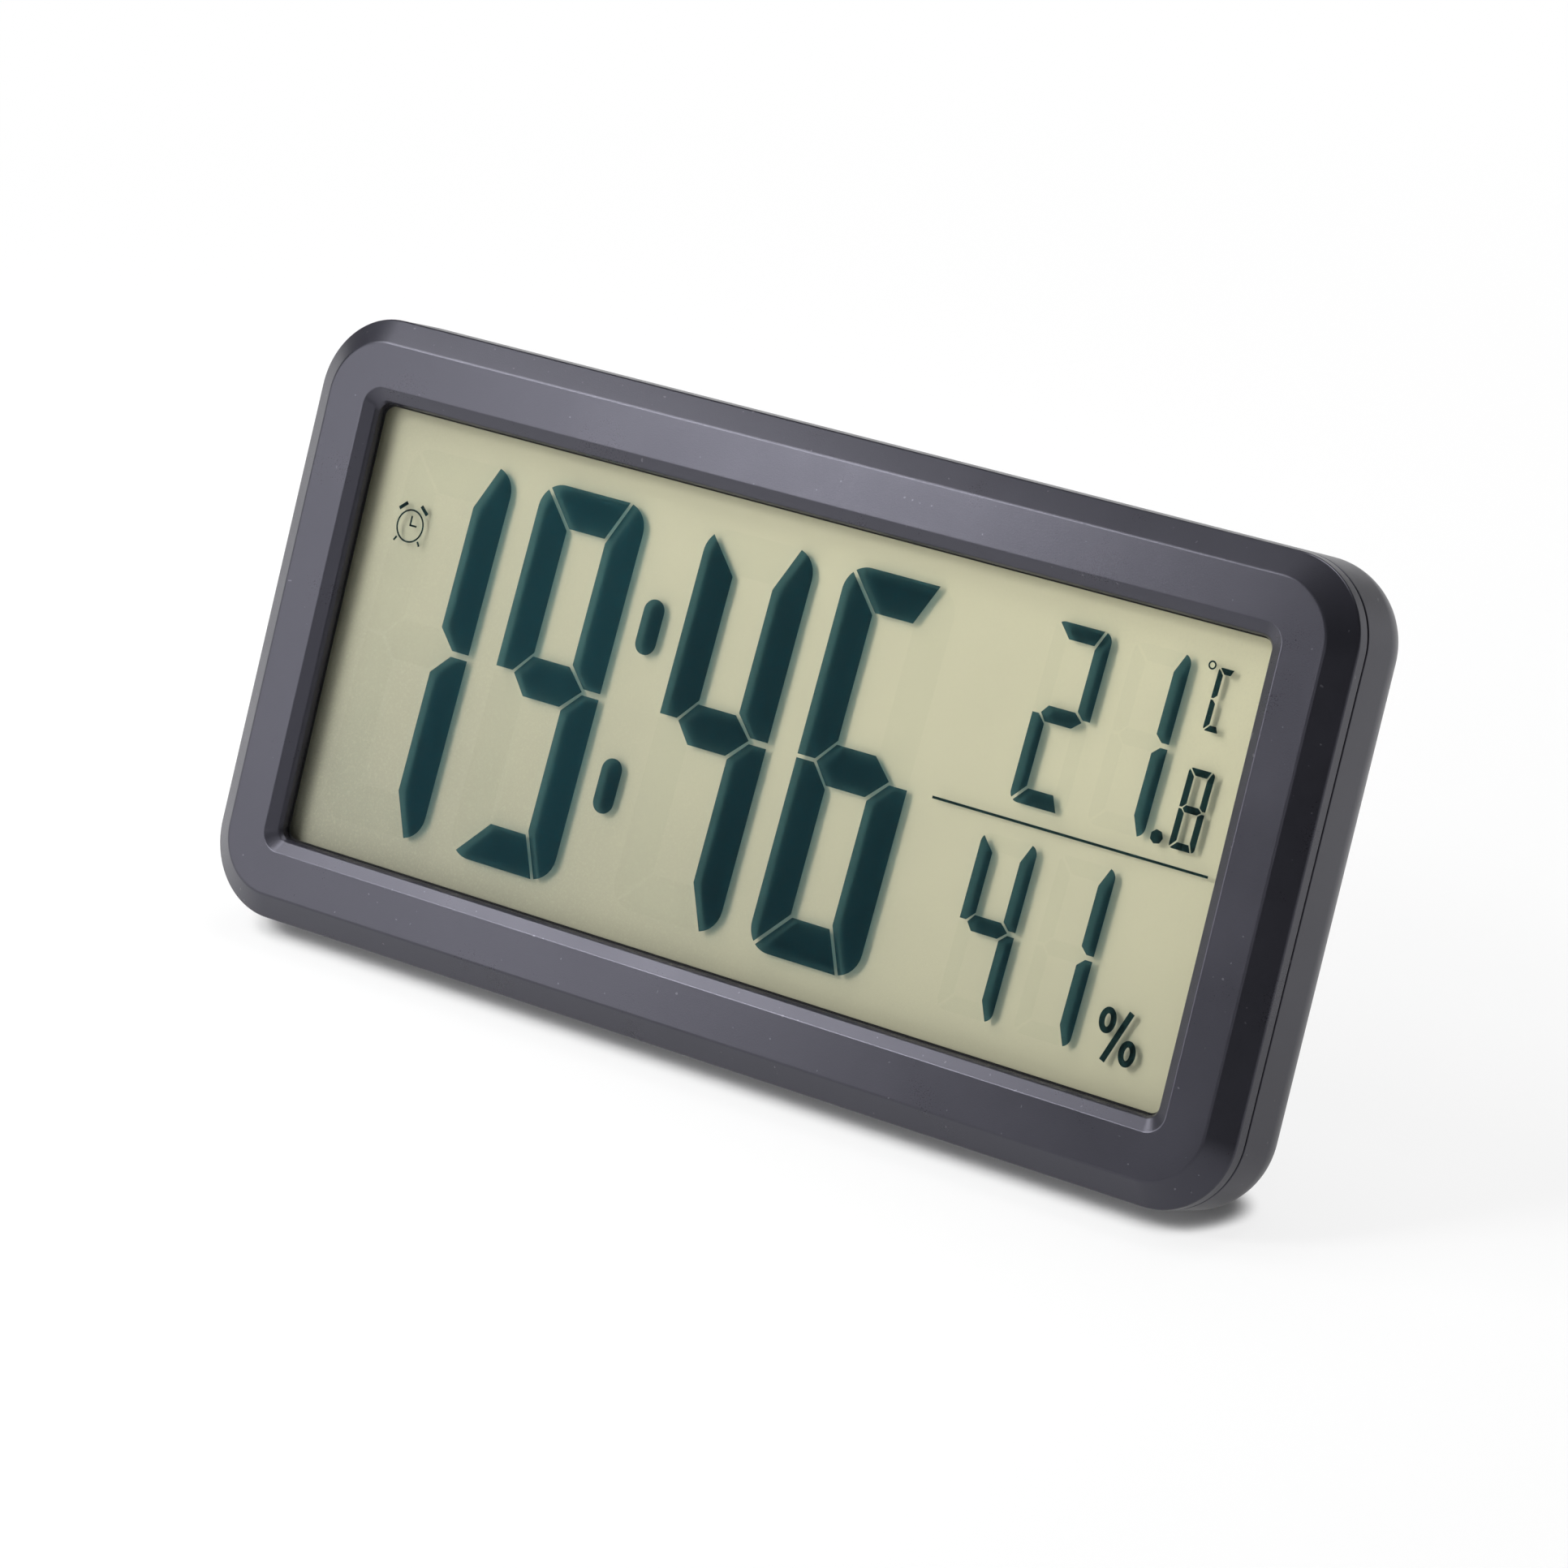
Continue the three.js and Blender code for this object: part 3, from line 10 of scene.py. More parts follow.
import bmesh
import bpy
import numpy as np
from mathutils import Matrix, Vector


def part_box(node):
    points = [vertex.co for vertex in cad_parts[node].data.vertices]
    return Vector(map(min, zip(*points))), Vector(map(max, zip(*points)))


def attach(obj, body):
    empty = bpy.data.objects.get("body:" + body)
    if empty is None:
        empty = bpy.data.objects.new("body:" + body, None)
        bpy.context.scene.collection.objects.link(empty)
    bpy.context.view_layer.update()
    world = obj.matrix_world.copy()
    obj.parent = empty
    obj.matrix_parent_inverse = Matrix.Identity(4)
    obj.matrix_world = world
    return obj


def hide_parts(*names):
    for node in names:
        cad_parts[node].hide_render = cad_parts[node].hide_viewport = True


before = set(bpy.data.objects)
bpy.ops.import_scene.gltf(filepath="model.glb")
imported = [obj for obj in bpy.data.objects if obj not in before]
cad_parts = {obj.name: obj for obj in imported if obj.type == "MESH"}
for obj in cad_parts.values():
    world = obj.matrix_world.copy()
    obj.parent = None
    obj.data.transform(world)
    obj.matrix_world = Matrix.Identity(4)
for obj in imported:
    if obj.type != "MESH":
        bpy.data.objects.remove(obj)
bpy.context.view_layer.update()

# %% [markdown]
# Every piece of the housing is square to the clock's face, and the face leans back. Modelling at
# an angle is awkward, so shapes are drawn in the face's own millimetres: x to the right, y behind
# the bezel, z up the face. The points are leaned back at the very end. The face's middle comes
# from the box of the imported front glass, because that is a plain block of known corners.

# %% Lean of the face
LEAN = math.radians(23)
GLASS_FRONT, GLASS_BOTTOM, GLASS_TOP = 3.01, -32.14, 34.84
glass_low, glass_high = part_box("lcd_front_glass")
FACE_MIDDLE = np.array([
    0.0,
    1000 * glass_low[1] - GLASS_FRONT * math.cos(LEAN) - GLASS_BOTTOM * math.sin(LEAN),
    1000 * glass_high[2] - GLASS_TOP * math.cos(LEAN) + GLASS_FRONT * math.sin(LEAN),
])


def lean_back(points):
    """Face millimetres to table metres: y' = y cos a + z sin a and z' = z cos a - y sin a,
    with a the lean, and then the face's middle is added."""
    x, y, z = np.moveaxis(np.asarray(points, float), -1, 0)
    depth = y * math.cos(LEAN) + z * math.sin(LEAN)
    height = z * math.cos(LEAN) - y * math.sin(LEAN)
    return (np.stack([x, depth, height], -1) + FACE_MIDDLE) / 1000


def on_table(points):
    """Table millimetres to table metres."""
    return np.asarray(points, float) / 1000


print("middle of the face, mm:", FACE_MIDDLE.round(3))

# %% [markdown]
# Nearly every moulded or stamped piece is a stack of rings: the same outline again and again, a
# little larger or deeper each time. One function skins any stack with quads and caps its ends,
# so each piece below only has to say how its outline grows with depth.

# %% Rings into closed solids
SAME_POINT = 1e-7


def grid_faces(rows, columns, looped):
    """Quads between ring i and ring i + 1. Columns always close on themselves, rows if looped."""
    steps = np.arange(rows if looped else rows - 1)
    i, j = np.meshgrid(steps, np.arange(columns), indexing="ij")
    below, beside = (i + 1) % rows, (j + 1) % columns
    corners = [i * columns + j, below * columns + j, below * columns + beside, i * columns + beside]
    return np.stack(corners, -1).reshape(-1, 4).tolist()


def placed(name, data):
    """New object at the origin, unturned and unscaled."""
    piece = bpy.data.objects.new(name, data)
    bpy.context.collection.objects.link(piece)
    return piece


def solid(name, rings, looped=False, place=lean_back):
    """Closed skin over an array of rings (row, column, xyz), capped at both ends unless looped."""
    rows, columns = rings.shape[:2]
    faces = grid_faces(rows, columns, looped)
    if not looped:
        faces += [list(range(columns)), list(range((rows - 1) * columns, rows * columns))]
    mesh = bpy.data.meshes.new(name)
    mesh.from_pydata(place(rings.reshape(-1, 3)).tolist(), [], faces)
    skin = bmesh.new()
    skin.from_mesh(mesh)
    bmesh.ops.remove_doubles(skin, verts=skin.verts, dist=SAME_POINT)
    bmesh.ops.recalc_face_normals(skin, faces=skin.faces)
    skin.to_mesh(mesh)
    skin.free()
    return placed(name, mesh)


def gather(name, pieces):
    """Several closed solids as one piece."""
    whole = bmesh.new()
    for piece in pieces:
        whole.from_mesh(piece.data)
        bpy.data.objects.remove(piece)
    mesh = bpy.data.meshes.new(name)
    whole.to_mesh(mesh)
    whole.free()
    return placed(name, mesh)


def combine(piece, operation, tools):
    """Joins, keeps or cuts away other solids, as a mould maker adds bosses and sinks holes."""
    for tool in tools:
        change = piece.modifiers.new(operation.title(), "BOOLEAN")
        change.operation = operation
        change.solver = "MANIFOLD"
        change.object = tool
    graph = bpy.context.evaluated_depsgraph_get()
    finished = bpy.data.meshes.new_from_object(piece.evaluated_get(graph))
    piece.modifiers.clear()
    piece.data = finished
    for tool in tools:
        bpy.data.objects.remove(tool)


print("ring tools are ready")

# %% [markdown]
# A rounded rectangle is the outline behind the housing, the window, the keys and the door, so it
# is worked out once as four quarter circles. Plates, blocks, turned pieces and rods are short
# stacks of such rings. A last helper puts an arc in place of each corner of a drawn section.

# %% Outlines and simple tools
def rounded_outline(width, height, radius, steps):
    """Corner centre plus radius times (cos, sin), a quarter turn at each of four corners."""
    width, height, radius = (np.asarray(size, float)[..., None] for size in (width, height, radius))
    quarter = np.linspace(0, math.pi / 2, steps + 1)
    angle = np.concatenate([quarter + turn * math.pi / 2 for turn in (-1, 0, 1, 2)])
    side_x = np.repeat([1, 1, -1, -1], steps + 1)
    side_z = np.repeat([-1, 1, 1, -1], steps + 1)
    x = side_x * (width / 2 - radius) + radius * np.cos(angle)
    z = side_z * (height / 2 - radius) + radius * np.sin(angle)
    return x, z


def xyz(x, y, z):
    """Points from coordinates that are given as rows, columns or single numbers."""
    return np.stack(np.broadcast_arrays(x, y, z), -1)


def stack(x, depth, z):
    """Rings from outlines x, z (row, column) and one depth for each row."""
    return xyz(x, np.asarray(depth, float)[:, None], z)


def grown(name, size, radius, middle, growth, depth, steps=12, place=lean_back):
    """Solid over one rounded outline that is let out on every side by each growth, at each depth."""
    growth = np.asarray(growth, float)
    width, height = size[0] + 2 * growth, size[1] + 2 * growth
    x, z = rounded_outline(width, height, np.maximum(radius + growth, 0), steps)
    return solid(name, stack(x + middle[0], depth, z + middle[1]), place=place)


def plate(name, size, radius, middle, front, back, ease=0.0):
    """Rounded plate between two depths. Its edges are eased by a quarter round of that size:
    inset = ease (1 - sin t), depth = ease (1 - cos t) from each flat side."""
    t = np.linspace(0, math.pi / 2, 5 if ease else 1)
    inset = ease * (1 - np.sin(t))
    inset = np.concatenate([inset, inset[::-1]])
    depth = np.concatenate([front + ease * (1 - np.cos(t)), back - ease * (1 - np.cos(t))[::-1]])
    return grown(name, size, radius, middle, -inset, depth)


def block(name, low, high, place=lean_back):
    """Box between two corners."""
    (width, _, height), (x, _, z) = np.subtract(high, low), np.add(high, low) / 2
    return grown(name, (width, height), 0, (x, z), [0, 0], [low[1], high[1]], 0, place)


def turned(name, profile, x, z, sides):
    """Piece turned on a lathe whose axis runs along the depth: (x + r cos t, depth, z + r sin t)."""
    radius, depth = np.asarray(profile, float).T
    t = np.linspace(0, 2 * math.pi, sides, endpoint=False)
    radius = radius[:, None]
    return solid(name, stack(x + radius * np.cos(t), depth, z + radius * np.sin(t)))


def rod(name, radius, front, back, x, z, sides=32):
    """Plain round bar along the depth."""
    return turned(name, [(radius, front), (radius, back)], x, z, sides)


def unit(vectors):
    """Each row divided by its length."""
    return vectors / np.linalg.norm(vectors, axis=1, keepdims=True)


def rounded_path(corners, steps=6):
    """Corners (a, b, radius) with an arc in place of each: the arc's centre lies on the bisector
    at radius / sin(half angle), and its ends touch both sides at radius / tan(half angle)."""
    corners = np.asarray(corners, float)
    point, radius = corners[:, :2], corners[:, 2:]
    back, ahead = unit(np.roll(point, 1, 0) - point), unit(np.roll(point, -1, 0) - point)
    half = np.arccos(np.clip((back * ahead).sum(1, keepdims=True), -1, 1)) / 2
    centre = point + unit(back + ahead) * radius / np.sin(half)
    first = point + back * radius / np.tan(half) - centre
    last = point + ahead * radius / np.tan(half) - centre
    sweep = (math.pi - 2 * half)[:, None]
    share = np.linspace(0, 1, steps + 1)[None, :, None]
    arc = np.sin((1 - share) * sweep) * first[:, None] + np.sin(share * sweep) * last[:, None]
    return (centre[:, None] + arc / np.sin(sweep)).reshape(-1, 2)


print("solid tools are ready")

# %% [markdown]
# The photograph's camera stands to the right of the clock and above it, far away behind a long
# lens. Its place and turn were found from the corners of the bezel, with the line of sight
# through the middle of the picture, so the camera needs no shift.

# %% Camera
camera = placed("camera", bpy.data.cameras.new("camera"))
camera.data.sensor_width = 36
camera.data.lens = 138.79
camera.location = (0.42940, -0.58437, 0.35346)
camera.rotation_euler = (math.radians(90 - 23.786), 0, math.radians(36.333))
camera.data.clip_start = 0.01
bpy.context.scene.camera = camera
bpy.context.scene.view_settings.view_transform = "Standard"
print("camera at", tuple(round(value, 3) for value in camera.location))

# %% [markdown]
# Shader graphs are easier to read as sums than as boxes and wires. The class below wraps one
# socket: plain arithmetic adds Math nodes, and `node` adds anything else, settings first and
# then the values or links of its sockets.

# %% Shader sums
class Signal:
    """One output of a material's nodes, with arithmetic."""

    def __init__(self, tree, socket=None):
        self.tree = tree
        self.socket = socket

    def node(self, kind, settings=None, inputs=None, output=0):
        made = self.tree.nodes.new(kind)
        for name, value in (settings or {}).items():
            setattr(made, name, value)
        for name, value in (inputs or {}).items():
            if isinstance(value, Signal):
                self.tree.links.new(value.socket, made.inputs[name])
            else:
                made.inputs[name].default_value = value
        return Signal(self.tree, made.outputs[output] if made.outputs else None)

    def sum(self, operation, first, second):
        return self.node("ShaderNodeMath", {"operation": operation}, {0: first, 1: second})

    def __add__(self, other):
        return self.sum("ADD", self, other)

    def __sub__(self, other):
        return self.sum("SUBTRACT", self, other)

    def __rsub__(self, other):
        return self.sum("SUBTRACT", other, self)

    def __mul__(self, other):
        return self.sum("MULTIPLY", self, other)

    def __gt__(self, other):
        return self.sum("GREATER_THAN", self, other)

    def __lt__(self, other):
        return self.sum("LESS_THAN", self, other)

    __radd__ = __add__
    __rmul__ = __mul__

    def between(self, low, high):
        """0 up to low, 1 from high, and a smooth step between."""
        settings = {"interpolation_type": "SMOOTHSTEP"}
        return self.node("ShaderNodeMapRange", settings, {"Value": self, 1: low, 2: high})

    def blend(self, first, second):
        """Colour mixed from first to second by this value."""
        settings = {"data_type": "RGBA"}
        return self.node("ShaderNodeMix", settings, {0: self, 6: first, 7: second}, output=2)

    def noise(self, scale, detail=2.0, roughness=0.5):
        inputs = {"Vector": self, "Scale": scale, "Detail": detail, "Roughness": roughness}
        return self.node("ShaderNodeTexNoise", None, inputs)

    def bump(self, distance, strength):
        inputs = {"Height": self, "Distance": distance, "Strength": strength}
        return self.node("ShaderNodeBump", None, inputs)


def new_finish(name):
    """Empty material, its own coordinates and its output."""
    made = bpy.data.materials.new(name)
    made.use_nodes = True
    made.node_tree.nodes.clear()
    tree = Signal(made.node_tree)
    place = tree.node("ShaderNodeTexCoord", output=3)
    return made, tree, place


def wear(tree, shader):
    """Shader to the material's output."""
    tree.node("ShaderNodeOutputMaterial", None, {"Surface": shader})


def wear_mix(tree, share, first, second):
    """Two shaders mixed by a share, to the material's output."""
    wear(tree, tree.node("ShaderNodeMixShader", None, {0: share, 1: first, 2: second}))


def surface(tree, inputs):
    """Principled shader with these inputs."""
    return tree.node("ShaderNodeBsdfPrincipled", None, inputs)


print("shader sums are ready")

# %% [markdown]
# Both shells are moulded in a dark, slightly violet plastic. The mould was spark eroded, which
# leaves a very fine matt grain: the colour itself is nearly black, and most of what is seen is a
# broad satin reflection. Cloudy roughness and a few pale specks of dust keep it from looking too
# clean.

# %% Moulded plastic
def rgb(red, green, blue):
    """Screen colour (0 to 255) as the linear colour that a shader takes."""
    value = np.array([red, green, blue]) / 255
    linear = np.where(value <= 0.04045, value / 12.92, ((value + 0.055) / 1.055) ** 2.4)
    return (*linear.tolist(), 1.0)


DUST = rgb(150, 150, 156)
VIOLET_SHEEN = (0.84, 0.83, 1.0, 1.0)
GRAIN_DEPTH = 0.00002


def moulded_plastic(name, colour, pale, roughness):
    """Two close colours in clouds, specks of dust, and a fine grain in roughness and bump."""
    made, tree, place = new_finish(name)
    cloud = place.noise(90, 3)
    fine = place.noise(5200, 2, 0.6)
    dust = place.noise(1500, 0).between(0.84, 0.88)
    base = (cloud.between(0.3, 0.7) * 0.35).blend(colour, pale)
    base = (dust * 0.25).blend(base, DUST)
    rough = roughness + (cloud - 0.5) * 0.12 + (fine - 0.5) * 0.08
    wear(tree, surface(tree, {
        "Base Color": base,
        "Roughness": rough,
        "Specular IOR Level": 0.58,
        "Specular Tint": VIOLET_SHEEN,
        "Normal": fine.bump(GRAIN_DEPTH, 0.5),
    }))
    return made


bezel_finish = moulded_plastic("bezel plastic", rgb(40, 40, 46), rgb(47, 47, 54), 0.3)
cover_finish = moulded_plastic("cover plastic", rgb(40, 40, 46), rgb(47, 47, 53), 0.33)
key_finish = moulded_plastic("key plastic", rgb(34, 34, 38), rgb(40, 40, 44), 0.55)
print("plastics:", bezel_finish.name, cover_finish.name, key_finish.name)

# %% [markdown]
# Every finished piece gets the same last steps: smooth shading that stays crisp at real corners,
# its finish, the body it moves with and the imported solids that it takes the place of. One
# function does them all, so that no piece can miss a step.

# %% Putting a finish on a piece
def dress(piece, finish, body, slot, nodes=(), sharp=32):
    """Smooth shading, crisp at corners sharper than `sharp` degrees, a finish, the body that the
    piece rides on and the solids that it replaces."""
    piece.data.materials.clear()
    piece.data.materials.append(finish)
    piece.data.shade_smooth()
    piece.data.set_sharp_from_angle(angle=math.radians(sharp))
    even = piece.modifiers.new("Even shading", "WEIGHTED_NORMAL")
    even.keep_sharp = True
    even.weight = 50
    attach(piece, body)
    if nodes:
        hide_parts(*nodes)


print("finishing steps are ready")

# %% [markdown]
# The bezel is one section carried round the housing's outline. From the rim inwards it has an
# outer chamfer, a flat band, a slope down to the window and, behind, the tongue that locates it
# in the rear cover. A real mould has no knife edges, and the thin bright lines in the photograph
# are light caught on these small rounds, so each corner that shows gets a radius of its own.

# %% Front bezel
WIDTH, HEIGHT, CORNER = 165.0, 83.6, 11.0
# inset from the rim, depth, and radius of the corner
BEZEL_SECTION = [
    (3.34, 0.0, 0.7), (0.0, 2.47, 0.5), (0.0, 4.4, 0.12), (1.0, 4.4, 0.0), (1.0, 6.1, 0.2),
    (1.8, 6.1, 0.1), (1.8, 2.47, 0.0), (3.34, 1.91, 0.0), (8.56, 1.91, 0.0), (8.56, 2.61, 0.0),
    (11.26, 2.61, 0.1), (11.26, 1.5, 0.2), (10.98, 0.98, 0.6), (9.34, 0.0, 0.5),
]


def housing_rings(inset, depth, shrink=1.0, smallest=1.0):
    """The housing's outline, drawn in by each inset at each depth; its corner radius falls by
    `shrink` for each millimetre, down to the smallest."""
    inset = np.asarray(inset, float)
    radius = np.maximum(CORNER - shrink * inset, smallest)
    x, z = rounded_outline(WIDTH - 2 * inset, HEIGHT - 2 * inset, radius, 24)
    return stack(x, depth, z)


CASE_POSTS = [(-76.95, 26.0), (76.95, 26.0), (-76.95, -26.0), (76.95, -26.0)]
BOARD_SCREWS = [(-54.0, 37.4), (-8.5, 37.4), (37.0, 37.4)]
RETAINER_SCREWS = [(-50.04, -37.4), (0.0, -37.4), (50.04, -37.4)]

LIP_FRONT, PILOT_FRONT = 1.6, 3.01
WINDOW_SHRINK, WINDOW_CORNER = 0.88, 1.6
section = rounded_path(BEZEL_SECTION)
bezel_rings = housing_rings(*section.T, WINDOW_SHRINK, WINDOW_CORNER)
bezel = solid("bezel", bezel_rings, looped=True)
pocket_rib = plate("rib", (148.28, 69.58), 1, (0, 1.35), LIP_FRONT, 4.91)
combine(pocket_rib, "DIFFERENCE", [plate("pocket", (146.28, 67.58), 1, (0, 1.35), 0, 6)])
bosses, pilots = [], []
# places, radius and end of the boss, radius and end of its pilot hole
for places, boss, boss_end, pilot, pilot_end in [
    (CASE_POSTS, 2.6, 7.91, 1.1, 13),
    (BOARD_SCREWS, 2.2, 7.21, 0.95, 12),
    (RETAINER_SCREWS, 2.2, 5.11, 0.95, 12),
]:
    bosses += [rod("boss", boss, LIP_FRONT, boss_end, x, z) for x, z in places]
    pilots += [rod("pilot", pilot, PILOT_FRONT, pilot_end, x, z) for x, z in places]
combine(bezel, "UNION", [pocket_rib] + bosses)
combine(bezel, "DIFFERENCE", pilots)
dress(bezel, bezel_finish, "housing", "bezel_plastic", ["front_bezel"])
print("bezel faces:", len(bezel.data.polygons))

# %% [markdown]
# The rear cover is a rounded cup with a battery bay, a recess for the stand, screw posts and
# holes for the keys, the sounder and the sensor. It is made as it would be machined: an outer
# form, an inner form cut away, blocks added inside and holes sunk through the back. Each hole's
# tool flares at its mouth by a quarter round, which leaves a rounded lip on the plastic.

# %% Tools for the openings in the back
BACK = 18.31
OUTSIDE = BACK + 4
SIDE = 10.71
EDGE = 7.6
WALL_FRONT = 16.51
HOLE_FRONT = 16.0


def opening(name, size, radius, middle, front, lip=0.25, steps=12):
    """Hole from `front` out through the back: straight, then a mouth that grows by
    lip (1 - cos t) while the depth goes on by lip sin t."""
    t = np.linspace(0, math.pi / 2, 6)
    grow = np.concatenate([[0], lip * (1 - np.cos(t)), [lip]])
    depth = np.concatenate([[front], BACK - lip + lip * np.sin(t), [OUTSIDE]])
    return grown(name, size, radius, middle, grow, depth, steps)


def cup(name, inset, front, ease):
    """Straight sides and a quarter round to the flat back: inset = EDGE - r cos t,
    depth = SIDE + r sin t, with r the edge radius less the wall."""
    t = np.linspace(0, math.pi / 2, 20)
    radius = EDGE - inset
    rim = np.linspace(0, math.pi / 2, 5) if ease else np.zeros(1)
    insets = np.concatenate([inset + ease * (1 - np.sin(rim)), EDGE - radius * np.cos(t)])
    depths = np.concatenate([front + ease * (1 - np.cos(rim)), SIDE + radius * np.sin(t)])
    return solid(name, housing_rings(insets, depths))


def hinge_bar(name, radius, reach, middle=(0.0, 0.0), place=lean_back):
    """Round bar along x, the same on both sides: (x, y + r cos t, z + r sin t)."""
    t = np.linspace(0, 2 * math.pi, 32, endpoint=False)
    x = np.array([-reach, reach])[:, None]
    rings = xyz(x, middle[0] + radius * np.cos(t), middle[1] + radius * np.sin(t))
    return solid(name, rings, place=place)


print("depth of the housing, mm:", BACK)

# %% [markdown]
# The back's places and sizes are set down once, because the cover, the stand, the door and the
# keys all have to fit one another. The stand's length isn't chosen freely: its foot has to reach
# the table when it is open, so it is worked out from the hinge's height and the two angles.

# %% Sizes of the stand, the bay and the keys
HINGE_DEPTH, HINGE_HEIGHT = 16.81, 10.0
STAND_HALF = 1.4
STAND_OPEN = math.radians(38)
hinge_rise = HINGE_HEIGHT * math.cos(LEAN) - HINGE_DEPTH * math.sin(LEAN) + FACE_MIDDLE[2]
leg_tilt = STAND_OPEN - LEAN
foot_outer = (hinge_rise + STAND_HALF * math.sin(leg_tilt)) / math.cos(leg_tilt)
foot_inner = (hinge_rise - STAND_HALF * math.sin(leg_tilt)) / math.cos(leg_tilt)
recess_top, recess_bottom = 11.8, HINGE_HEIGHT - foot_outer - 0.5
recess_middle = (recess_top + recess_bottom) / 2
BAY_X, BAY_Z = 61.1, -1.55
BAY_SIZE = (22.2, 50.9)
TONGUE_X, CELL_X = (51.55, 70.65), (55.6, 66.6)
KEY_X, KEY_Z = {"mode": -36.0, "up": -12.0, "down": 12.0, "alarm": 36.0}, 24.0
VENT_X, VENT_Z = -53.0, 15.0
SOUND_X, SOUND_Z = -46.0, -14.0
print("stand's foot from its hinge, mm:", round(foot_outer, 2))

# %% [markdown]
# First comes the shell itself: the outer cup less the hollow, a groove round its rim for the
# bezel's tongue, and then the blocks inside it, each trimmed to the outer form before it is
# joined, so that nothing stands out through the wall.

# %% Rear cover
RIM = 4.7
WALL = 1.8
cover = cup("cover", 0, RIM, 0.15)
combine(cover, "DIFFERENCE", [cup("hollow", WALL, -1, 0)])
groove = housing_rings([0.75, 0.75], [-1, 6.4])
combine(cover, "DIFFERENCE", [solid("groove", groove)])
inside = [
    block("bay", (48.8, 5.41, -28.2), (73.4, BACK + 1, 25.1)),
    block("recess", (-22.4, 13.41, recess_bottom - 2), (22.4, BACK + 1, recess_top + 2)),
]
inside += [rod("post", 2.8, 8.21, BACK + 1, x, z) for x, z in CASE_POSTS]
seat = rod("seat", 10, 15.01, 16.9, SOUND_X, SOUND_Z, 64)
combine(seat, "DIFFERENCE", [rod("bore", 8.5, 14, 18, SOUND_X, SOUND_Z, 64)])
for added in inside + [seat]:
    combine(added, "INTERSECT", [cup("limit", 0, RIM, 0)])
combine(cover, "UNION", inside + [seat])
print("cover with its blocks, faces:", len(cover.data.polygons))

# %% [markdown]
# All openings are then sunk in one go. The vents let room air reach the sensor, the ring of holes
# lets the alarm out, and the table itself is one of the cuts, which leaves the narrow flat strip
# that the clock stands on.

# %% Openings through the back
SCOOP_RADIUS, SCOOP_DEPTH = 7, 1.1
dish = np.linspace(0, SCOOP_RADIUS, 15)
sunk = BACK - SCOOP_DEPTH / 2 * (1 + np.cos(math.pi * dish / SCOOP_RADIUS))
scoop = [*zip(dish, sunk), (SCOOP_RADIUS, OUTSIDE), (0, OUTSIDE)]
cuts = [
    block("bay hollow", (50.0, 6.31, -27.0), (72.2, OUTSIDE, 23.9)),
    opening("door rebate", (BAY_SIZE[0] + 1.6, BAY_SIZE[1] + 1.6), 1.5, (BAY_X, BAY_Z), 17.01),
    turned("finger scoop", scoop, BAY_X, 24.7, 64),
    opening("stand recess", (40.8, recess_top - recess_bottom), 0.8, (0, recess_middle), 14.91, 0.4),
    opening("finger notch", (18, 12), 5, (0, recess_bottom), 16.01, 0.5, 20),
    hinge_bar("hinge bore", 1.25, 21.7, (HINGE_DEPTH, HINGE_HEIGHT)),
    block("table", (-200, -200, -50), (200, 200, 0), on_table),
]
for x in TONGUE_X:
    cuts.append(block("tongue slot", (x - 1.55, 14.06, -32), (x + 1.55, WALL_FRONT, -26.2)))
    cuts.append(block("tongue step", (x - 1.55, 16.26, -27.8), (x + 1.55, BACK, -26.2)))
for x in CELL_X:
    cuts.append(block("tab slot", (x - 1.7, 11.31, 22.7), (x + 1.7, 12.11, 26.3)))
for x in KEY_X.values():
    cuts.append(opening("key hole", (13.5, 6.5), 3.25, (x, KEY_Z), HOLE_FRONT))
for row in range(-2, 3):
    cuts.append(opening("vent", (14, 1.4), 0.7, (VENT_X, VENT_Z + 2.8 * row), HOLE_FRONT, 0.2, 8))
ring = [(4.6 * math.cos(turn), 4.6 * math.sin(turn)) for turn in np.arange(6) * math.pi / 3]
for x, z in [(0, 0)] + ring:
    spot = (SOUND_X + x, SOUND_Z + z)
    cuts.append(opening("sound hole", (1.8, 1.8), 0.9, spot, HOLE_FRONT, 0.2, 8))
for x, z in CASE_POSTS:
    cuts.append(rod("screw well", 2.4, 10.01, OUTSIDE, x, z, 48))
    cuts.append(rod("screw bore", 1.25, 3, OUTSIDE, x, z))
combine(cover, "DIFFERENCE", cuts)
dress(cover, cover_finish, "housing", "cover_plastic", ["rear_cover"])
print("cover faces:", len(cover.data.polygons))

# %% [markdown]
# The stand is a flap on two hinge pins. Its side view is a long strip with a round knuckle and a
# heel, which lands on the recess's floor and stops it, and its foot is cut level with the table.
# It is drawn folded flat and then opened about its hinge, just as the real one moves.

# %% Fold-out stand
def unfold(points):
    """Folded stand to table metres: turned about its hinge by the open angle, then leaned back."""
    x, y, z = np.moveaxis(np.asarray(points, float), -1, 0)
    depth = y * math.cos(STAND_OPEN) - z * math.sin(STAND_OPEN) + HINGE_DEPTH
    height = y * math.sin(STAND_OPEN) + z * math.cos(STAND_OPEN) + HINGE_HEIGHT
    return lean_back(np.stack([x, depth, height], -1))


def folded(name, size, radius, middle, front, back, lip=0.0):
    """Plate in the stand's own frame; with a lip its front end flares like the cover's openings."""
    t = np.linspace(0, math.pi / 2, 5 if lip else 1)
    grow = np.concatenate([[lip], lip * (1 - np.cos(t))[::-1], [0]])
    depth = np.concatenate([[front - 2], front + lip * (1 - np.sin(t))[::-1], [back]])
    return grown(name, size, radius, middle, grow, depth, place=unfold)


